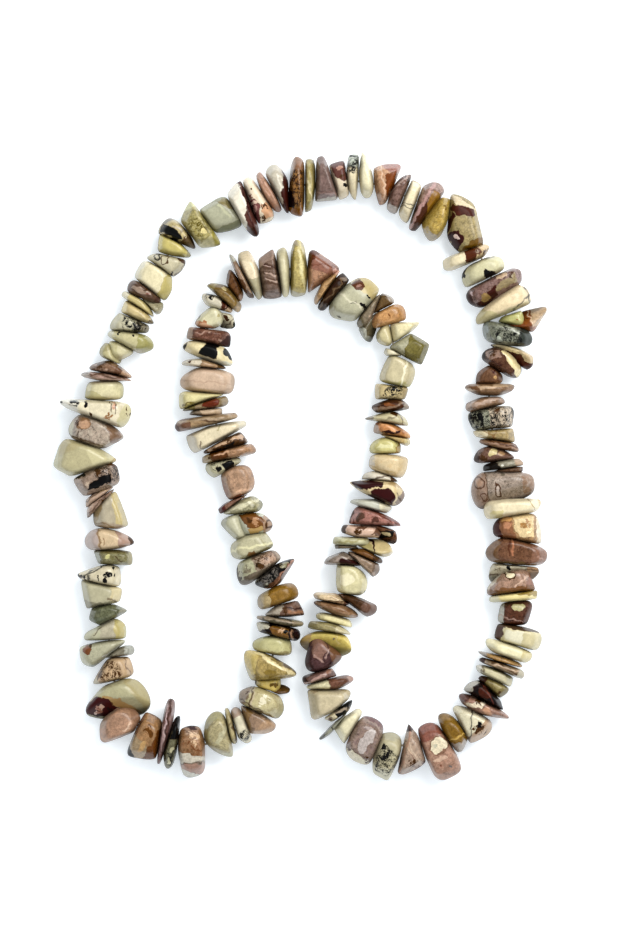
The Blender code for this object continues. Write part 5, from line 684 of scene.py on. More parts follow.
.77,.74,.57; 592.2 .6, 595.8 3.6, 596.6 2, 597.2 0, 597 -2.2, 595.6 -3, 593.4 -1.2; side .64,.6,.42 596.6 0
  -10; side .82,.79,.64 594 .4 -60
.75,.72,.56; 596 3.4, 596.6 4.6, 597.8 4.8, 598.8 4.2, 600.4 -1, 600.9 -4.6, 600 -6.6, 598.4 -7.2, 596.4
  -5.4, 595.2 -3.2, 596.6 0; side .6,.58,.38 599 -3 -75; side .6,.56,.42 596.6 -3 -170; side .74,.73,.64 598
  3.4 95; blob black 598.7 2.1 .4 .35; blob black 599.3 -1.4 .4 .35
run sand
.72,.7,.6; 598.7 4.4, 599.4 5, 601 5.1, 603.6 4, 603.7 0, 603.8 -3.8, 602.8 -4.4, 601.6 -4.2, 599.8 0; side
  .5,.47,.4 601.6 -1 -75; net black 602 -.6 3; fern black 601.8 -1.6 2.2
.77,.7,.52; 603.6 3.8, 606.6 4.2, 607.4 3, 606.6 -1, 605.4 -3.6, 604.6 -4.7, 604 -4.2, 603.4 -1; side
  .82,.76,.58 604.6 2.8 110; side .4,.34,.24 604 -3.4 -110; line .46,.36,.16 606.6 1 80 .3
.74,.68,.48; 606.6 4.6, 607.6 5.6, 608.8 5.2, 608.9 2, 608.7 -1, 607.4 -3, 606 -4, 605.6 -2.6, 606.6 1; side
  .8,.77,.66 607.4 3.6 90; side .5,.42,.22 608.4 -1 -10
run cream
.38,.3,.26; 608.7 4.4, 609.4 5.1, 611.4 5.2, 612.4 4.2, 612.4 0, 611.6 -3, 610.8 -4, 609.6 -4, 608.6 0; blob
  .58,.5,.44 610.6 1.4 .7 2.6; blob .5,.34,.3 610.3 -.4 .3 .6; side .3,.22,.2 610 -2.6 -90; fern umber 611.6
  0 1.4
.64,.61,.5; 608.4 .8, 609.4 .8, 610.2 -4.6, 609 -5.3, 607.4 -5.1, 606.6 -3.8
.86,.82,.68; 612.4 4.2, 614 4.9, 617 4.6, 617.8 3.4, 618.1 -1, 618.2 -2.8, 614.6 -5, 612.4 -5.3, 610.4 -4.9,
  612.1 -1; side .72,.67,.44 614.5 -2.5 -90; side .82,.8,.72 614 3.8 90; side .74,.68,.46 617.6 -1 -5
.74,.71,.6; 617.6 4.4, 619.4 3.4, 620.4 2.4, 621.7 -.5, 623.2 -3.8, 622.8 -4.6, 620 -5.1, 618 -4.4, 616.6
  -3.8, 617.9 -1; ring black 619.8 1.9 .8 .8 .4; ring umber 620 -.2 .9 .9 .3; patch .18,.12,.1 616.5 -3.8
  618 -3 617.9 -4.2; side umber 622.2 -3.4 -20; blob black 617.2 4.1 .35 .25; line umber 619.8 -4.7 -8 .3 3;
  line umber 620.8 2 -64 .35 3
run olive
.74,.69,.43; 621 2.6, 622.4 3.6, 624.2 4.8, 625.2 4.4, 625.9 1, 625.9 -1.5, 625.4 -4.6, 624.2 -4.4, 621.4 0;
  side .6,.54,.38 621.9 2.6 130; side .6,.57,.42 624.4 -3.8 -80; side .48,.45,.28 625.3 1 5
.7,.64,.47; 623.4 5, 625 5.9, 627 6.3, 628.4 5.8, 629.1 4, 629.5 0, 628.8 -2.4, 628 -4.1, 626.2 -4.2, 625.6
  0; side .36,.3,.22 627 -1 -90; dots .3,.25,.2; side .46,.44,.4 628 4.8 60; patch .1,.08,.07 624.6 5.2
  626.4 5.8 627.6 2 627 -.4 625.6 .6 625.4 3.4; fern umber 626.8 -1 1.8; side umber 628.8 -.6 -30; line
  .72,.68,.62 628 2.4 -68 .35 3
.66,.62,.42; 629.2 3, 630.4 4, 633 5.6, 634 5.9, 634.5 3, 634.7 -1, 635.2 -5, 634.8 -7.3, 633.4 -7.4, 630
  -6, 628.3 -4.6, 629.2 -1; dots .52,.47,.22; side .74,.73,.56 633 4 80; net .36,.32,.14 632 -1 2.6; side
  .74,.71,.54 631 -4.6 -95; side .6,.56,.28 634.2 -4 -30; blob .86,.8,.56 632.4 -2.6 .8 .9
run olive
.64,.64,.55; 634.5 2.8, 637 3, 640 3.6, 641.6 2.8, 642.3 -1, 643.2 -4.8, 641.6 -5.2, 639.8 -4, 635.2 -4.2,
  634.4 -1; side .48,.49,.4 638.5 -3.6 -88; side .52,.52,.42 638 2.9 92; patch .48,.44,.3 638.8 3 641.4 3
  642 -.6 640.4 .4; line .72,.72,.6 639.6 0 -66 .6 5
.88,.85,.78; 641.7 3.6, 642.9 4.8, 645 5.9, 646.3 5.8, 646.3 0, 646.7 -5.4, 646.4 -7.6, 645.4 -8.6, 644.4
  -7.8, 643.4 -5.8, 642 -.6; patch .33,.22,.21 645 6.8 647.4 6.8 647.4 -3 645.9 -3 645.9 1; patch
  .33,.22,.21 645.9 0 647.4 0 647.4 -9 643.2 -9 643.8 -6.2 645.2 -4.6; side .25,.16,.15 645.2 -6.6 -90; line
  .2,.12,.12 645.7 0 88 .3
run cream
.87,.81,.71; 646.3 5.6, 647.4 6.2, 648.8 6, 649.6 4, 650.3 0, 651.3 -4.6, 650.6 -6, 648 -6.2, 646.6 -5.6,
  646.2 0; patch .44,.28,.28 646.4 .4 648 .6 648.4 -2 647.4 -5.6 646.4 -5.6; blob .8,.7,.62 647.4 -.6 .9 .6;
  blob .66,.5,.46 647.2 -2.4 .7 .9; patch .8,.62,.48 648.4 -2 650.6 -1.6 651 -5 648.6 -5.6; fern umber 649.6
  -2.6 1.8; fern umber 648.4 -5 1.2; blob umber 647.8 2.5 .35 .25; fern .5,.32,.3 647.4 1.2 1.2
.7,.54,.45; 650.1 5.4, 651 6.4, 651.8 6.2, 652.4 4, 653.4 0, 653.5 -4, 652.6 -4.8, 651.4 -4, 650.1 0; dots
  .62,.46,.38; side .58,.44,.38 651.8 -3.4 -90; line .8,.64,.56 651 2 -80 .4 5
.74,.71,.64; 652.5 5, 653.6 6.6, 655.4 6.9, 656.5 5, 657.1 2, 657.1 0, 656.2 -3.4, 655.4 -6, 654.2 -6, 653.6
  -4.4, 653 0; dots .64,.61,.55; patch .26,.17,.17 656.8 5 657.8 5 657.8 -1 654.9 -2 655.9 1.5; patch
  .24,.15,.14 655.6 1 657.6 1 655.6 -6.8 653.4 -6.8 653.6 -4.4 654.8 -2; line .88,.86,.8 655.2 2 86 .3 5
"""
print(len(ROWS.splitlines()), "lines of rows")

# %% [markdown]
# The rows are only text so far. Each one becomes a chip that knows its number along the strand, its CAD
# run, its finish, its colour, its marks and its outline on the table. Tumbling leaves no hollows in so
# small a stone, so the outline is drawn tight round the corners.

# %% Read the rows
def in_pairs(numbers):
    return list(zip(numbers[::2], numbers[1::2]))


def as_numbers(text):
    return [float(word) for word in text.replace(",", " ").split()]


def as_colour(word):
    """A colour's name, or its three screen values."""
    return tuple(as_numbers(word)) if "," in word else word


class Chip:
    """One stone's place, outline and look, and the planes that keep it off a piled neighbour."""

    def __init__(self, number, run, finish, row):
        colour, corners, *marks_and_painted_light = row.split("; ")
        self.number = number
        self.name = f"chip_{number:03}"
        self.run = run
        self.finish = finish
        self.colour = as_colour(colour)
        self.pale = brightness(self.colour) > PALE_FROM
        self.marks_and_painted_light = []
        for mark in marks_and_painted_light:
            kind, ink, *details = mark.split()
            self.marks_and_painted_light.append((kind, as_colour(ink), as_numbers(" ".join(details))))
        self.corners = in_pairs(as_numbers(corners))
        placed = [strand.place(*corner) for corner in self.corners]
        self.outline = [placed[i] for i in convex_hull_2d(placed)]
        self.leans = []


RUN_WORD = "run "
chips = []
run_count = 0
for row in ROWS.replace("\n  ", " ").split("\n")[1:-1]:
    if row.startswith(RUN_WORD):
        run_count += 1
        finish = row.removeprefix(RUN_WORD)
    else:
        chips.append(Chip(len(chips) + 1, f"run_{run_count:02}", finish, row))
print(run_count, "runs,", len(chips), "chips,", sum(chip.pale for chip in chips), "of them pale")

# %% [markdown]
# The real chips press on each other but never pass through each other. Where two outlines in the table
# overlap, a straight line parts them with the least loss to both. A few chips lie partly on top of the
# next one: those pairs keep their full outlines, and a sloping plane parts them instead, with the upper
# chip on its upper side. Letting the chips fall with physics would part them too, but they would leave
# their places.

# %% Lines and outlines
TOUCH_GAP = 0.04
SHORTEST_SIDE = 0.001


def outward_sides(outline):
    """Each side's outward direction and how far out along it the side lies."""
    sides = []
    for first, second in zip(outline, outline[1:] + outline[:1]):
        run = second - first
        if run.length > SHORTEST_SIDE:
            outward = Vector((run.y, -run.x)).normalized()
            sides.append((outward, outward.dot(first)))
    return sides


def trimmed(outline, outward, reach):
    """The part of the outline no further out than this."""
    kept = []
    for first, second in zip(outline, outline[1:] + outline[:1]):
        before = outward.dot(first) - reach
        after = outward.dot(second) - reach
        if before <= 0:
            kept.append(first)
        if before * after < 0:
            kept.append(first.lerp(second, before / (before - after)))
    return kept


def parting_line(first, second):
    """The direction from one outline to the other, where each ends along it, and the space between."""
    best = None
    for near, far, order in ((first, second, 1), (second, first, -1)):
        for outward, reach in outward_sides(near):
            far_end = min(outward.dot(corner) for corner in far)
            if best is None or far_end - reach > best[0]:
                best = (far_end - reach, outward * order, reach * order, far_end * order, order)
    space, outward, near_end, far_end, order = best
    return (outward, near_end, far_end, space) if order == 1 else (outward, far_end, near_end, space)


print("gap between touching chips", TOUCH_GAP, "mm")

# %% [markdown]
# These are the pairs that lie on each other. The first chip of each pair is the upper one, so the slope
# between the two faces down for it, and up for the other.

# %% Part the chips from each other
NEIGHBOURS = 3
PILED = [
    (17, 18), (21, 20), (32, 31), (36, 35), (59, 60), (71, 72), (73, 74), (89, 92), (91, 92), (93, 92),
    (108, 107), (124, 125), (135, 136), (137, 136), (146, 147), (168, 167), (173, 174), (175, 174),
]
FACING_UP = 1
FACING_DOWN = -1


def part(first, second):
    """Trim two neighbours along a line, or note the slope between them if one lies on the other."""
    outward, first_end, second_end, space = parting_line(first.outline, second.outline)
    if space >= TOUCH_GAP:
        return
    if (first.number, second.number) in PILED:
        first.leans.append((outward, first_end, FACING_DOWN))
        second.leans.append((-outward, -first_end, FACING_UP))
    elif (second.number, first.number) in PILED:
        second.leans.append((-outward, -second_end, FACING_DOWN))
        first.leans.append((outward, second_end, FACING_UP))
    else:
        middle = (first_end + second_end) / 2
        first.outline = trimmed(first.outline, outward, middle - TOUCH_GAP / 2)
        second.outline = trimmed(second.outline, -outward, -middle - TOUCH_GAP / 2)


for first in chips:
    for step in range(1, NEIGHBOURS + 1):
        part(first, chips[(first.number - 1 + step) % len(chips)])
print(sum(len(chip.leans) for chip in chips) // 2, "piled pairs")

# %% [markdown]
# A view from above says nothing about height, so a chip's height follows its width across the thread,
# as in a stone that has tumbled evenly. The largest chips rest on the table, and the thread holds the
# others up.

# %% How high each chip is
THREAD_HEIGHT = 4.6
HEIGHT_SHARE = 0.9
LEAST_HEIGHT = 6.0
MOST_HEIGHT = 10.4
MEAN_PART = 0.94
VARIED_PART = 0.06
VARIED_PACE = 2.4


def chip_heights(corners, number):
    """The lowest and highest level of a chip, as in the CAD."""
    across = max(v for _, v in corners) - min(v for _, v in corners)
    height = min(max(across * HEIGHT_SHARE, LEAST_HEIGHT), MOST_HEIGHT)
    height *= MEAN_PART + VARIED_PART * math.sin(number * VARIED_PACE)
    low = max(0.0, THREAD_HEIGHT - height / 2)
    return low, low + height


print("first chip from", *(round(level, 2) for level in chip_heights(chips[0].corners, 1)), "mm")

# %% [markdown]
# A tumbled chip is a broken flake with its edges worn round. It can be carved with modifiers, but a sum
# of planes is simpler and never fails: start from a ball, and let every direction reach out until the
# planes that face it, blended by a high power, stop it. First come the planes: two to each side of the
# outline, and a few slanting ones where a corner of the flake has broken off.

# %% The planes that bound a chip
SIDE_TILT = math.radians(9)
END_TILT = math.radians(30)
MOST_DRAWN_IN = 0.42
LEAST_REACH = 0.15
FACET_COUNTS = (1, 2, 2, 3)
FACET_RISE = (0.35, 1.0)
FACET_REACH = (0.60, 0.78)


def side_planes(outline, half_height):
    """Two planes for each side of the outline, meeting at mid height and drawn in above and below."""
    planes = []
    for outward, reach in outward_sides(outline):
        if reach < LEAST_REACH:
            continue
        tilt = SIDE_TILT + (END_TILT - SIDE_TILT) * outward.y**2
        tilt = min(tilt, math.atan(MOST_DRAWN_IN * reach / half_height))
        for up in (-1, 1):
            normal = Vector((*(outward * math.cos(tilt)), up * math.sin(tilt)))
            planes.append((normal, reach * math.cos(tilt)))
    return planes


def worn_facets(dice, half):
    """A few slanting facets on a stone of this half size."""
    facets = []
    for _ in range(dice.choice(FACET_COUNTS)):
        turn = dice.uniform(0, math.tau)
        rise = dice.uniform(*FACET_RISE)
        normal = Vector((math.cos(turn) * half[1] / half[0], math.sin(turn), rise * half[1] / half[2]))
        normal.normalize()
        corner = Vector(math.copysign(h, n) for h, n in zip(half, normal))
        facets.append((normal, normal.dot(corner) * dice.uniform(*FACET_REACH)))
    return facets


print("facets to a chip:", min(FACET_COUNTS), "to", max(FACET_COUNTS))

# %% [markdown]
# Then comes the ball. It is stretched to the chip's size first, so its points are spread evenly over a
# long thin stone. A higher power leaves crisper edges, and every chip has its own.

# %% The chip's body
BALL_DETAIL = 4
LARGE_BALL_DETAIL = 5
LARGE_AREA = 62.0
CRISPNESS = (9, 15)


def ball_points(detail):
    """The points and faces of a unit ball."""
    shape = bmesh.new()
    bmesh.ops.create_icosphere(shape, subdivisions=detail, radius=1.0)
    points = np.array([vertex.co for vertex in shape.verts])
    faces = [[vertex.index for vertex in face.verts] for face in shape.faces]
    shape.free()
    return points, faces


def chip_body(number, outline, leans, half_height):
    """Points and faces of the worn stone about its own middle, in millimetres."""
    dice = random.Random(number)
    low = Vector(min(p[i] for p in outline) for i in range(2))
    high = Vector(max(p[i] for p in outline) for i in range(2))
    half = Vector((*((high - low) / 2), half_height))
    planes = side_planes(outline, half_height)
    planes += [(Vector((0, 0, 1)), half_height), (Vector((0, 0, -1)), half_height)]
    planes += worn_facets(dice, half)
    planes += leans
    ball, faces = ball_points(LARGE_BALL_DETAIL if half.x * half.y * 4 > LARGE_AREA else BALL_DETAIL)
    directions = ball * np.array(half)
    normals = np.array([normal for normal, _ in planes])
    reaches = np.array([reach for _, reach in planes])
    crispness = dice.uniform(*CRISPNESS)
    facing = np.maximum(directions @ normals.T, 0) / reaches
    points = directions / (facing**crispness).sum(axis=1, keepdims=True) ** (1 / crispness)
    for axis in (0, 1):
        least, most = points[:, axis].min(), points[:, axis].max()
        share = (points[:, axis] - least) / (most - least)
        points[:, axis] = low[axis] + share * (high[axis] - low[axis])
    points[:, 2] *= half_height / max(points[:, 2].max(), -points[:, 2].min())
    return points, faces


print("ball of", len(ball_points(BALL_DETAIL)[1]), "faces for most chips")

# %% [markdown]
# No tumbled face is truly flat. Smooth noise swells and sinks the surface by about a tenth of a
# millimetre, and it is different on every chip because each one reads its own part of the noise. A
# displace modifier does the same with a texture, but here the points are still at hand, so they are
# moved directly.

# %% Uneven wear
SWELL = 0.10
SWELL_SPAN = 2.6
SWELL_STEPS = (13.7, 5.1, 0)


def unevenly_worn(points, number):
    """The points moved in and out by smooth noise."""
    shift = Vector([number * step for step in SWELL_STEPS])
    outward = points / np.linalg.norm(points, axis=1, keepdims=True)
    swells = np.array([noise.noise(Vector(point) / SWELL_SPAN + shift) for point in points])
    return points + outward * (swells * SWELL)[:, None]


print("wear of", SWELL, "mm")

# %% [markdown]
# Each chip is drilled, and the thread runs through all the holes. Because the strand bends, the drill
# used here is a short piece of tube that follows the thread's line. The thread itself is the same kind
# of tube, closed into a loop, so one helper makes both.

# %% Tubes along the thread's line
def tube_mesh(name, rings, closed):
    """A tube through rings of points, closed into a loop or capped at its ends."""
    count, sides = len(rings), len(rings[0])
    points = [point for ring in rings for point in ring]
    faces = []
    for i in range(count if closed else count - 1):
        for j in range(sides):
            near = (i * sides + j, i * sides + (j + 1) % sides)
            far = [(index + sides) % len(points) for index in near]
            faces.append((near[0], near[1], far[1], far[0]))
    if not closed:
        faces.append(tuple(reversed(range(sides))))
        faces.append(tuple(range((count - 1) * sides, count * sides)))
    mesh = bpy.data.meshes.new(name)
    mesh.from_pydata(points, [], faces)
    return mesh


def ring_round(along, radius_at, sides):
    """A ring of points about the thread's line, in metres."""
    heading = strand.heading(along)
    middle = strand.place(along, 0).to_3d() + Vector((0, 0, THREAD_HEIGHT))
    across = Vector((-heading.y, heading.x, 0))
    ring = []
    for j in range(sides):
        turn = math.tau * j / sides
        offset = across * math.cos(turn) + Vector((0, 0, math.sin(turn)))
        ring.append((middle + offset * radius_at(along, turn)) * MM)
    return ring


print("thread", THREAD_HEIGHT, "mm above the table")

# %% [markdown]
# An exact boolean cuts the drill out of the stone. It is slower than leaving the stone whole, but the
# hole's mouth shows wherever two chips stand apart.

# %% The drilled hole
HOLE_RADIUS = 0.7
HOLE_SIDES = 10
DRILL_PAST = 2.5
DRILL_STEP = 1.5
FEWEST_RINGS = 3


def drilled(piece, lengths):
    """The piece with the thread's hole cut through it, past both ends of these lengths."""
    start = min(lengths) - DRILL_PAST
    end = max(lengths) + DRILL_PAST
    count = max(FEWEST_RINGS, math.ceil((end - start) / DRILL_STEP) + 1)
    places = [start + (end - start) * i / (count - 1) for i in range(count)]
    rings = [ring_round(along, lambda *_: HOLE_RADIUS, HOLE_SIDES) for along in places]
    drill = put_in_scene("drill", tube_mesh("drill", rings, closed=False))
    cut = piece.modifiers.new("hole", "BOOLEAN")
    cut.operation = "DIFFERENCE"
    cut.solver = "EXACT"
    cut.object = drill
    bpy.context.view_layer.update()
    depsgraph = bpy.context.evaluated_depsgraph_get()
    finished = bpy.data.meshes.new_from_object(piece.evaluated_get(depsgraph))
    piece.modifiers.clear()
    piece.data = finished
    bpy.data.objects.remove(drill)


print("hole", 2 * HOLE_RADIUS, "mm wide")

# %% [markdown]
# The finish is one shader for every chip, with nodes for each thing that the row says. Painting an
# image for each stone would work too, but nodes stay sharp at any distance and need no unwrapping.
# These helpers keep the node work short: each one makes a node, links what it is given, and hands back
# its result. The mix node's sockets are called by number, because its number, vector and colour sockets
# share their names.

# %% Small helpers for shader nodes
MIX_SHARE, MIX_UNDER, MIX_OVER = 0, 6, 7
MIXED_COLOUR = 2


def new_node(tree, kind, sockets, **settings):
    """A node with its settings, and its sockets set or linked."""
    made = tree.nodes.new(kind)
    for name, value in settings.items():
        setattr(made, name, value)
    for name, value in sockets.items():
        if isinstance(value, bpy.types.NodeSocket):
            tree.links.new(value, made.inputs[name])
        else:
            made.inputs[name].default_value = value
    return made


def vector_step(tree, operation, first, second):
    step = new_node(tree, "ShaderNodeVectorMath", {0: first, 1: second}, operation=operation)
    return step.outputs["Value" if operation in ("DOT_PRODUCT", "LENGTH") else "Vector"]


def scaled(tree, value, share):
    step = new_node(tree, "ShaderNodeVectorMath", {0: value, "Scale": share}, operation="SCALE")
    return step.outputs["Vector"]


def math_step(tree, operation, first, second=0.0):
    return new_node(tree, "ShaderNodeMath", {0: first, 1: second}, operation=operation).outputs[0]


def ramp(tree, value, start, end, low=0.0, high=1.0):
    """A smooth step from low to high as the value goes from start to end."""
    sockets = {"Value": value, "From Min": start, "From Max": end, "To Min": low, "To Max": high}
    return new_node(tree, "ShaderNodeMapRange", sockets, interpolation_type="SMOOTHSTEP").outputs[0]


def cloud(tree, place, scale, detail, rough=0.6, warp=0.0, output=0):
    """Noise between 0 and 1, as one value or, from the other output, as a colour."""
    sockets = {"Vector": place, "Scale": scale, "Detail": detail, "Roughness": rough, "Distortion": warp}
    return new_node(tree, "ShaderNodeTexNoise", sockets).outputs[output]


def painted(tree, under, over, mask):
    """One colour over another where the mask says."""
    sockets = {MIX_SHARE: mask, MIX_UNDER: under, MIX_OVER: over}
    return new_node(tree, "ShaderNodeMix", sockets, data_type="RGBA").outputs[MIXED_COLOUR]


print("shader helpers ready")

# %% [markdown]
# The mineral filled cracks and layers as it grew, so many marks have straight or rounded shapes with
# soft rims. Other marks are painted light: a pale line or blob along a chip's lit face is a painted
# highlight, and a dark side over a lower or turned-away face is painted shade. Each kind of mark is a
# mask: 1 inside the mark, 0 outside, and a short ramp between. These first ones are made of straight
# lines.

# %% Straight marks
MARK_EDGE = 0.16
ACROSS_ALL = 40.0


def direction(angle):
    return Vector((math.cos(math.radians(angle)), math.sin(math.radians(angle)), 0))


def side_mask(tree, place, spot, angle):
    """Everything beyond a line through the spot, in the direction of the angle."""
    outward = direction(angle)
    level = outward.dot(spot)
    reached = vector_step(tree, "DOT_PRODUCT", place, outward)
    return ramp(tree, reached, level - MARK_EDGE, level + MARK_EDGE)


def line_mask(tree, place, spot, angle, width, length=ACROSS_ALL):
    """A streak through the spot, running at the angle."""
    along = direction(angle)
    offset = vector_step(tree, "SUBTRACT", place, spot)
    masks = []
    for axis, reach in ((along, length), (Vector((-along.y, along.x, 0)), width)):
        distance = math_step(tree, "ABSOLUTE", vector_step(tree, "DOT_PRODUCT", offset, axis))
        masks.append(ramp(tree, distance, reach / 2 + MARK_EDGE, max(reach / 2 - MARK_EDGE, 0.0)))
    return math_step(tree, "MULTIPLY", *masks)


def patch_mask(tree, place, *corners):
    """A patch with corners, given in any order."""
    flat = [corner.to_2d() for corner in corners]
    outside = None
    for outward, reach in outward_sides([flat[i] for i in convex_hull_2d(flat)]):
        level = vector_step(tree, "DOT_PRODUCT", place, outward.to_3d())
        level = math_step(tree, "SUBTRACT", level, reach)
        outside = level if outside is None else math_step(tree, "MAXIMUM", outside, level)
    return ramp(tree, outside, MARK_EDGE, -MARK_EDGE)


print("a straight mark fades out over", 2 * MARK_EDGE, "mm")

# %% [markdown]
# Other marks are rounded: a fleck of another mineral, the ring that is left where a nodule was cut
# through, or a painted highlight. Both measure how far a point is from the spot, as a share of an oval's
# size.

# %% Round marks
OVAL_RIM = (1.12, 0.86)
RING_RIM = (1.5, 0.7)


def distance_in(tree, place, spot, long, wide):
    """Distance from the spot, as a share of the size of an oval."""
    offset = vector_step(tree, "SUBTRACT", place, spot)
    shares = vector_step(tree, "MULTIPLY", offset, (1 / long, 1 / wide, 0))
    return vector_step(tree, "LENGTH", shares, (0, 0, 0))


def blob_mask(tree, place, spot, long, wide):
    """A filled oval."""
    return ramp(tree, distance_in(tree, place, spot, long, wide), *OVAL_RIM)


def ring_mask(tree, place, spot, long, wide, width):
    """The rim of an oval."""
    distance = math_step(tree, "SUBTRACT", distance_in(tree, place, spot, long, wide), 1.0)
    share = width / (long + wide)
    return ramp(tree, math_step(tree, "ABSOLUTE", distance), *(share * rim for rim in RING_RIM))


print("an oval fades out from", OVAL_RIM[1], "to", OVAL_RIM[0], "of its size")

# %% [markdown]
# The rest grew freely: manganese crept along cracks as ferns and nets, and iron settled as bands and
# freckles. They are cut out of noise, and the row only says where they are and how far they reach.

# %% Free growths
VEIN_CORE = 0.35
FERN_REACH = (0.1, 1.4)
FERN_GAIN = (0.14, -0.25)
FERN_RIM = (0.56, 0.60)
NET_SCALES = (0.38, 0.62)
NET_WIDTH = 0.03
KNOT_RIM = (0.58, 0.62)
NET_END = (1.1, 0.9)
BAND_STRETCH = 0.18
BAND_RIM = (0.47, 0.58)
DOT_RIM = (0.52, 0.59)


def vein_mask(tree, place, scale, width):
    """Thin lines that wander over the stone, where noise crosses its middle value."""
    wander = cloud(tree, place, scale, detail=4, rough=0.6, warp=0.9)
    offset = math_step(tree, "ABSOLUTE", math_step(tree, "SUBTRACT", wander, 0.5))
    return ramp(tree, offset, width, width * VEIN_CORE)


def fern_mask(tree, place, spot, radius):
    """Black growths with clots in them, thinning out from the spot."""
    distance = distance_in(tree, place, spot, radius, radius)
    clots = cloud(tree, place, scale=0.8, detail=4, rough=0.66, warp=0.7)
    clots = math_step(tree, "ADD", clots, ramp(tree, distance, *FERN_REACH, *FERN_GAIN))
    return ramp(tree, clots, *FERN_RIM)


def net_mask(tree, place, spot, radius):
    """A net of thin dark lines with knots in it, out to the radius."""
    distance = distance_in(tree, place, spot, radius, radius)
    coarse, fine = (vein_mask(tree, place, scale, NET_WIDTH) for scale in NET_SCALES)
    knots = ramp(tree, cloud(tree, place, scale=0.8, detail=3), *KNOT_RIM)
    net = math_step(tree, "MAXIMUM", math_step(tree, "MAXIMUM", coarse, fine), knots)
    return math_step(tree, "MULTIPLY", net, ramp(tree, distance, *NET_END))


def bands_mask(tree, place, spot, angle, spacing):
    """Wavy stripes that run at the angle."""
    along = direction(angle)
    across = Vector((-along.y, along.x, 0))
    sockets = {
        "X": vector_step(tree, "DOT_PRODUCT", place, along * BAND_STRETCH),
        "Y": vector_step(tree, "DOT_PRODUCT", place, across / spacing),
        "Z": spot.x,
    }
    stretched = new_node(tree, "ShaderNodeCombineXYZ", sockets).outputs[0]
    return ramp(tree, cloud(tree, stretched, scale=1.0, detail=3, rough=0.5), *BAND_RIM)


def dots_mask(tree, place, spot):
    """Freckles all over."""
    return ramp(tree, cloud(tree, place, scale=0.9, detail=4, rough=0.66), *DOT_RIM)


print("a net's meshes are about", *(round(1 / scale, 1) for scale in NET_SCALES), "mm wide")

# %% [markdown]
# The rows call each kind of mark by its word. This table says which mask the word stands for, how many
# places it is given on the stone, and how strongly it covers what lies under it. A patch takes as many
# places as it has corners, and bands and dots need none.

# %% The marks by name
ALL_OF_THEM = None
MARKS_AND_PAINTED_LIGHT = {
    "side": (side_mask, 1, 1.0),
    "line": (line_mask, 1, 0.85),
    "blob": (blob_mask, 1, 1.0),
    "patch": (patch_mask, ALL_OF_THEM, 1.0),
    "fern": (fern_mask, 1, 1.0),
    "net": (net_mask, 1, 1.0),
    "ring": (ring_mask, 1, 0.95),
    "bands": (bands_mask, 0, 0.8),
    "dots": (dots_mask, 0, 0.6),
}
print("marks:", ", ".join(MARKS_AND_PAINTED_LIGHT))

# %% [markdown]
# Now the stone's own colour and its marks, painted highlights and painted shade among them, are put
# together. All patterns are read at the chip's own place in millimetres, a little warped by noise, so
# that no line is straight and no two chips share a pattern. Pale stones are smooth and even. Dark ones
# are cloudier, with stronger veins and grain. A strong mark has a thin dark rim, broken here and there,
# where the mineral gathered at its edge; a strong side of painted shade gets the same rim.

# %% The stone's colour and marks
WARP = 1.15
CLOUD_RANGE = (0.33, 0.67)
PALE_TONES = (0.85, 1.05)
DARK_TONES = (0.76, 1.10)
PALE_VEINS = (0.0, 0.3)
DARK_VEINS = (0.3, 0.8)
VEIN_WIDTH = 0.02
VEIN_TONE = 0.22
RIMMED_KINDS = ("side", "blob", "patch")
RIM_CONTRAST = 0.12
RIM_RISE = (0.05, 0.4)
RIM_FALL = (0.95, 0.6)
RIM_GAPS = (0.38, 0.5)
RIM_GAIN = 3
MOST_RIM = 0.9
RIMMED_EDGE = (0.4, 0.8)


def stone_ground(tree, own, chip, vein_share):
    """The chip's main colour, cloudy in tone, with fine veins."""
    darkest, lightest = PALE_TONES if chip.pale else DARK_TONES
    tone = ramp(tree, cloud(tree, own, scale=0.42, detail=6, rough=0.68, warp=0.5), *CLOUD_RANGE)
    colour = painted(tree, light_value(chip.colour, darkest), light_value(chip.colour, lightest), tone)
    veins = math_step(tree, "MULTIPLY", vein_mask(tree, own, 0.5, VEIN_WIDTH), vein_share)
    return painted(tree, colour, light_value(chip.colour, VEIN_TONE), veins)


def with_rim(tree, colour, own, mask, contrast):
    """The colour with a broken dark line where the mask rises."""
    rim = math_step(tree, "MULTIPLY", ramp(tree, mask, *RIM_RISE), ramp(tree, mask, *RIM_FALL))
    most = min(contrast * RIM_GAIN, MOST_RIM)
    gaps = ramp(tree, cloud(tree, own, scale=0.9, detail=2), *RIM_GAPS, high=most)
    return painted(tree, colour, light_value("umber"), math_step(tree, "MULTIPLY", rim, gaps))


def with_marks_and_painted_light(tree, colour, own, shift, chip, to_local):
    """The colour with the chip's marks, painted highlights and painted shade among them, laid over one
    another.
    """
    wobble = cloud(tree, own, scale=0.45, detail=3, rough=0.5, output="Color")
    wobble = vector_step(tree, "SUBTRACT", wobble, (0.5,) * 3)
    wobble = vector_step(tree, "MULTIPLY", wobble, (2 * WARP,) * 3)
    warped = vector_step(tree, "ADD", own, wobble)
    for kind, ink, details in chip.marks_and_painted_light:
        mask_of, places, strength = MARKS_AND_PAINTED_LIGHT[kind]
        placed = len(details) if places is ALL_OF_THEM else places * 2
        spots = [shift + to_local(strand.place(*pair)).to_3d() for pair in in_pairs(details[:placed])]
        mask = mask_of(tree, warped, *(spots or [shift]), *details[placed:])
        contrast = abs(brightness(ink) - brightness(chip.colour))
        if kind in RIMMED_KINDS and contrast > RIM_CONTRAST:
            colour = with_rim(tree, colour, own, mask, contrast)
            mask = ramp(tree, mask, *RIMMED_EDGE)
        colour = painted(tree, colour, light_value(ink), math_step(tree, "MULTIPLY", mask, strength))
    return colour


print("patterns wander by up to", WARP, "mm")

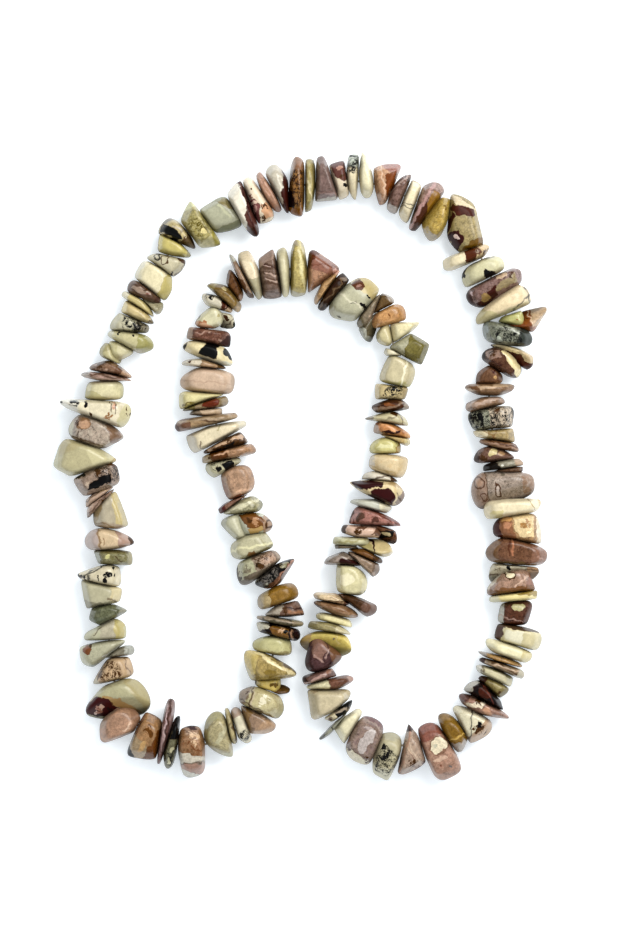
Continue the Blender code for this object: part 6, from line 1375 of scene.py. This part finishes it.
# %% [markdown]
# Last on the stone come its grain, its shaded lower half and its polish. The colour darkens downward
# from a little above mid height: painted shade on the rounded edge where chips meet and the sides turn
# away from the light. The polish is a soft one, the black growths take less of it than the rest, and
# fine pits keep the highlights from looking like glass.

# %% The stone's finish
GRAIN_RANGE = (0.34, 0.66)
PALE_GRAIN = 0.10
DARK_GRAIN = 0.28
GRAIN_RISE = 0.6
PAINTED_SHADE_LEVELS = (-0.4, 1.3)
PAINTED_SHADE_SHARES = (0.40, 1.0)
ROUGHNESS = (0.2, 0.36)
MIRROR = (0.08, 0.42)
PIT_STRENGTH = 0.5
PIT_DEPTH = 0.03
PATTERN_STEPS = (11.3, 4.7, 0)


def new_finish(name):
    """A new material, its node tree and its main shader."""
    material = bpy.data.materials.new(name)
    material.use_nodes = True
    return material, material.node_tree, material.node_tree.nodes["Principled BSDF"]


def stone_finish(chip, to_local):
    """Polished jasper in the chip's colour, with its marks, painted highlights and painted shade."""
    dice = random.Random(chip.number * 7)
    material, tree, shader = new_finish(f"{chip.name}_stone")
    read = new_node(tree, "ShaderNodeTexCoord", {}).outputs["Object"]
    place = scaled(tree, read, 1 / MM)
    shift = Vector([chip.number * step for step in PATTERN_STEPS])
    own = vector_step(tree, "ADD", place, shift)
    vein_share = dice.uniform(*(PALE_VEINS if chip.pale else DARK_VEINS))
    colour = stone_ground(tree, own, chip, vein_share)
    colour = with_marks_and_painted_light(tree, colour, own, shift, chip, to_local)
    grain = cloud(tree, own, scale=1.5, detail=5, rough=0.75)
    most = PALE_GRAIN if chip.pale else DARK_GRAIN
    speckle = ramp(tree, grain, *GRAIN_RANGE, low=1 - most, high=1 + most * GRAIN_RISE)
    colour = scaled(tree, colour, speckle)
    # Painted shade: the colour darkens from a little above mid height downward, so the lower sides look
    # shaded.
    up = new_node(tree, "ShaderNodeSeparateXYZ", {0: place}).outputs["Z"]
    colour = scaled(tree, colour, ramp(tree, up, *PAINTED_SHADE_LEVELS, *PAINTED_SHADE_SHARES))
    tree.links.new(colour, shader.inputs["Base Color"])
    shader.inputs["Roughness"].default_value = dice.uniform(*ROUGHNESS)
    mirror = ramp(tree, colour, 0.0, POLISH_LEVEL, *MIRROR)
    tree.links.new(mirror, shader.inputs["Specular IOR Level"])
    sockets = {"Strength": PIT_STRENGTH, "Distance": PIT_DEPTH * MM, "Height": grain}
    tree.links.new(new_node(tree, "ShaderNodeBump", sockets).outputs[0], shader.inputs["Normal"])
    return material


print("polish between", *ROUGHNESS, "rough, pits", PIT_DEPTH, "mm deep")

# %% [markdown]
# Now every chip is made in turn, about its own middle: its length lies along the thread, and its height
# is up. The object is then put where the outline says and drilled, and the CAD run it stands for is
# hidden. A chip on a pile is also stopped by the slope between it and its neighbour, which is worked
# out first.

# %% Make the chips
LEAN = math.radians(32)
LEAN_LEVEL = 1.6
LEAST_LEAN_REACH = 0.3


def lean_planes(chip, back, centre, level):
    """The slopes between the chip and its piled neighbours, about the chip's own middle."""
    planes = []
    for outward, end, up in chip.leans:
        normal = Vector((*(back @ outward * math.cos(LEAN)), up * math.sin(LEAN)))
        anchor = (outward * end - outward * outward.dot(centre)).dot(outward)
        height = THREAD_HEIGHT + LEAN_LEVEL - level
        reach = anchor * math.cos(LEAN) + up * height * math.sin(LEAN)
        planes.append((normal, max(reach, LEAST_LEAN_REACH)))
    return planes


def make_chip(chip):
    """The finished stone in its place."""
    low, high = chip_heights(chip.corners, chip.number)
    level = (low + high) / 2
    centre = sum(chip.outline, Vector((0.0, 0.0))) / len(chip.outline)
    lengths = [s for s, _ in chip.corners]
    heading = strand.heading((min(lengths) + max(lengths)) / 2)
    turn = math.atan2(heading.y, heading.x)
    back = Matrix.Rotation(-turn, 2)

    def to_local(point):
        return back @ (point - centre)

    outline = [to_local(point) for point in chip.outline]
    leans = lean_planes(chip, back, centre, level)
    points, faces = chip_body(chip.number, outline, leans, (high - low) / 2)
    points = unevenly_worn(points, chip.number)
    points[:, 2] = np.maximum(points[:, 2], -level)
    mesh = bpy.data.meshes.new(chip.name)
    mesh.from_pydata([tuple(point * MM) for point in points], [], faces)
    mesh.materials.append(stone_finish(chip, to_local))
    mesh.shade_smooth()
    piece = put_in_scene(chip.name, mesh)
    piece.location = Vector((*centre, level)) * MM
    piece.rotation_euler = (0, 0, turn)
    drilled(piece, lengths)
    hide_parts(chip.run)
    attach(piece, "root")
    return piece


pieces = [make_chip(chip) for chip in chips]
print(len(pieces), "chips with", sum(len(piece.data.polygons) for piece in pieces), "faces")

# %% [markdown]
# The thread is twisted from thin strands. Three shallow lobes that wind along the tube are enough for
# the little of it that shows between the chips. Separate strands wound round each other would be truer
# and far heavier, for a twist that is finer than a pixel.

# %% The thread
THREAD_RADIUS = 0.28
THREAD_RINGS = 660
THREAD_SIDES = 9
LOBES = 3
MEAN_LOBE = 0.93
LOBE_DEPTH = 0.07
TURNS_PER_MM = 0.35
FUZZ_SCALE = 2500
FIBRE_DARK = (0.66, 0.61, 0.52)
FIBRE_PALE = (0.82, 0.78, 0.70)
FIBRE_ROUGHNESS = 0.85


def thread_radius(along, turn):
    wound = LOBES * (turn - math.tau * TURNS_PER_MM * along)
    return THREAD_RADIUS * (MEAN_LOBE + LOBE_DEPTH * math.cos(wound))


ring_lengths = [strand.length * i / THREAD_RINGS for i in range(THREAD_RINGS)]
rings = [ring_round(along, thread_radius, THREAD_SIDES) for along in ring_lengths]
thread = put_in_scene("stringing_thread", tube_mesh("stringing_thread", rings, closed=True))
thread.data.shade_smooth()
fibre, tree, shader = new_finish("thread_fibre")
read = new_node(tree, "ShaderNodeTexCoord", {}).outputs["Object"]
fuzz = cloud(tree, read, FUZZ_SCALE, detail=3)
tint = painted(tree, light_value(FIBRE_DARK), light_value(FIBRE_PALE), fuzz)
tree.links.new(tint, shader.inputs["Base Color"])
shader.inputs["Roughness"].default_value = FIBRE_ROUGHNESS
thread.data.materials.append(fibre)
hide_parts("thread")
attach(thread, "root")
print("thread with", len(thread.data.polygons), "faces")

# %% [markdown]
# The table is a plain near-white sheet. It glows a little, so that it stays as bright as in a picture
# that is exposed for a white ground, and the chips' shadows on it are only faint and cool.

# %% The table
TABLE_REACH = 3
PAPER_COLOUR = (0.83, 0.865, 0.90, 1.0)
PAPER_ROUGHNESS = 0.9
GLOW_COLOUR = (0.90, 0.96, 1.0, 1.0)
GLOW = 0.38

table_mesh = bpy.data.meshes.new("table")
corners = [(x * TABLE_REACH, y * TABLE_REACH, 0) for x, y in ((-1, -1), (1, -1), (1, 1), (-1, 1))]
table_mesh.from_pydata(corners, [], [(0, 1, 2, 3)])
paper, tree, shader = new_finish("white_paper")
shader.inputs["Base Color"].default_value = PAPER_COLOUR
shader.inputs["Roughness"].default_value = PAPER_ROUGHNESS
shader.inputs["Emission Color"].default_value = GLOW_COLOUR
shader.inputs["Emission Strength"].default_value = GLOW
table_mesh.materials.append(paper)
table = put_in_scene("table", table_mesh)
print("table", 2 * TABLE_REACH, "m wide")

# %% [markdown]
# The light is that of a small white tent: even from all round, brighter from the walls than from the
# opening overhead, with one broad soft lamp above and to the right that gives each chip its rounded
# highlight.

# %% The light
LAMP_PLACE = (0.28, 0.30, 0.45)
LAMP_SIZE = 0.5
LAMP_POWER = 4.5
LAMP_COLOUR = (1.0, 0.985, 0.96)
TENT_COLOUR = (0.965, 0.985, 1.0, 1.0)
WALL_LEVELS = (0.05, 0.6)
WALL_GLOW = (0.25, 1.25)
OPENING_LEVELS = (0.80, 0.97)
OPENING_GLOW = (1.0, 0.45)

light = bpy.data.lights.new("key_lamp", "AREA")
light.shape = "DISK"
light.size = LAMP_SIZE
light.energy = LAMP_POWER
light.color = LAMP_COLOUR
lamp = put_in_scene("key_lamp", light)
lamp.location = LAMP_PLACE
lamp.rotation_euler = (-Vector(LAMP_PLACE)).to_track_quat("-Z", "Y").to_euler()

tent = bpy.data.worlds.new("tent")
tent.use_nodes = True
sky = tent.node_tree
towards = new_node(sky, "ShaderNodeTexCoord", {}).outputs["Generated"]
height = new_node(sky, "ShaderNodeSeparateXYZ", {0: towards}).outputs["Z"]
walls = ramp(sky, height, *WALL_LEVELS, *WALL_GLOW)
opening = ramp(sky, height, *OPENING_LEVELS, *OPENING_GLOW)
sky.nodes["Background"].inputs["Color"].default_value = TENT_COLOUR
sky.links.new(math_step(sky, "MULTIPLY", walls, opening), sky.nodes["Background"].inputs["Strength"])
bpy.context.scene.world = tent
bpy.context.scene.view_settings.view_transform = "Standard"
print("lamp of", LAMP_POWER, "W and a white tent")
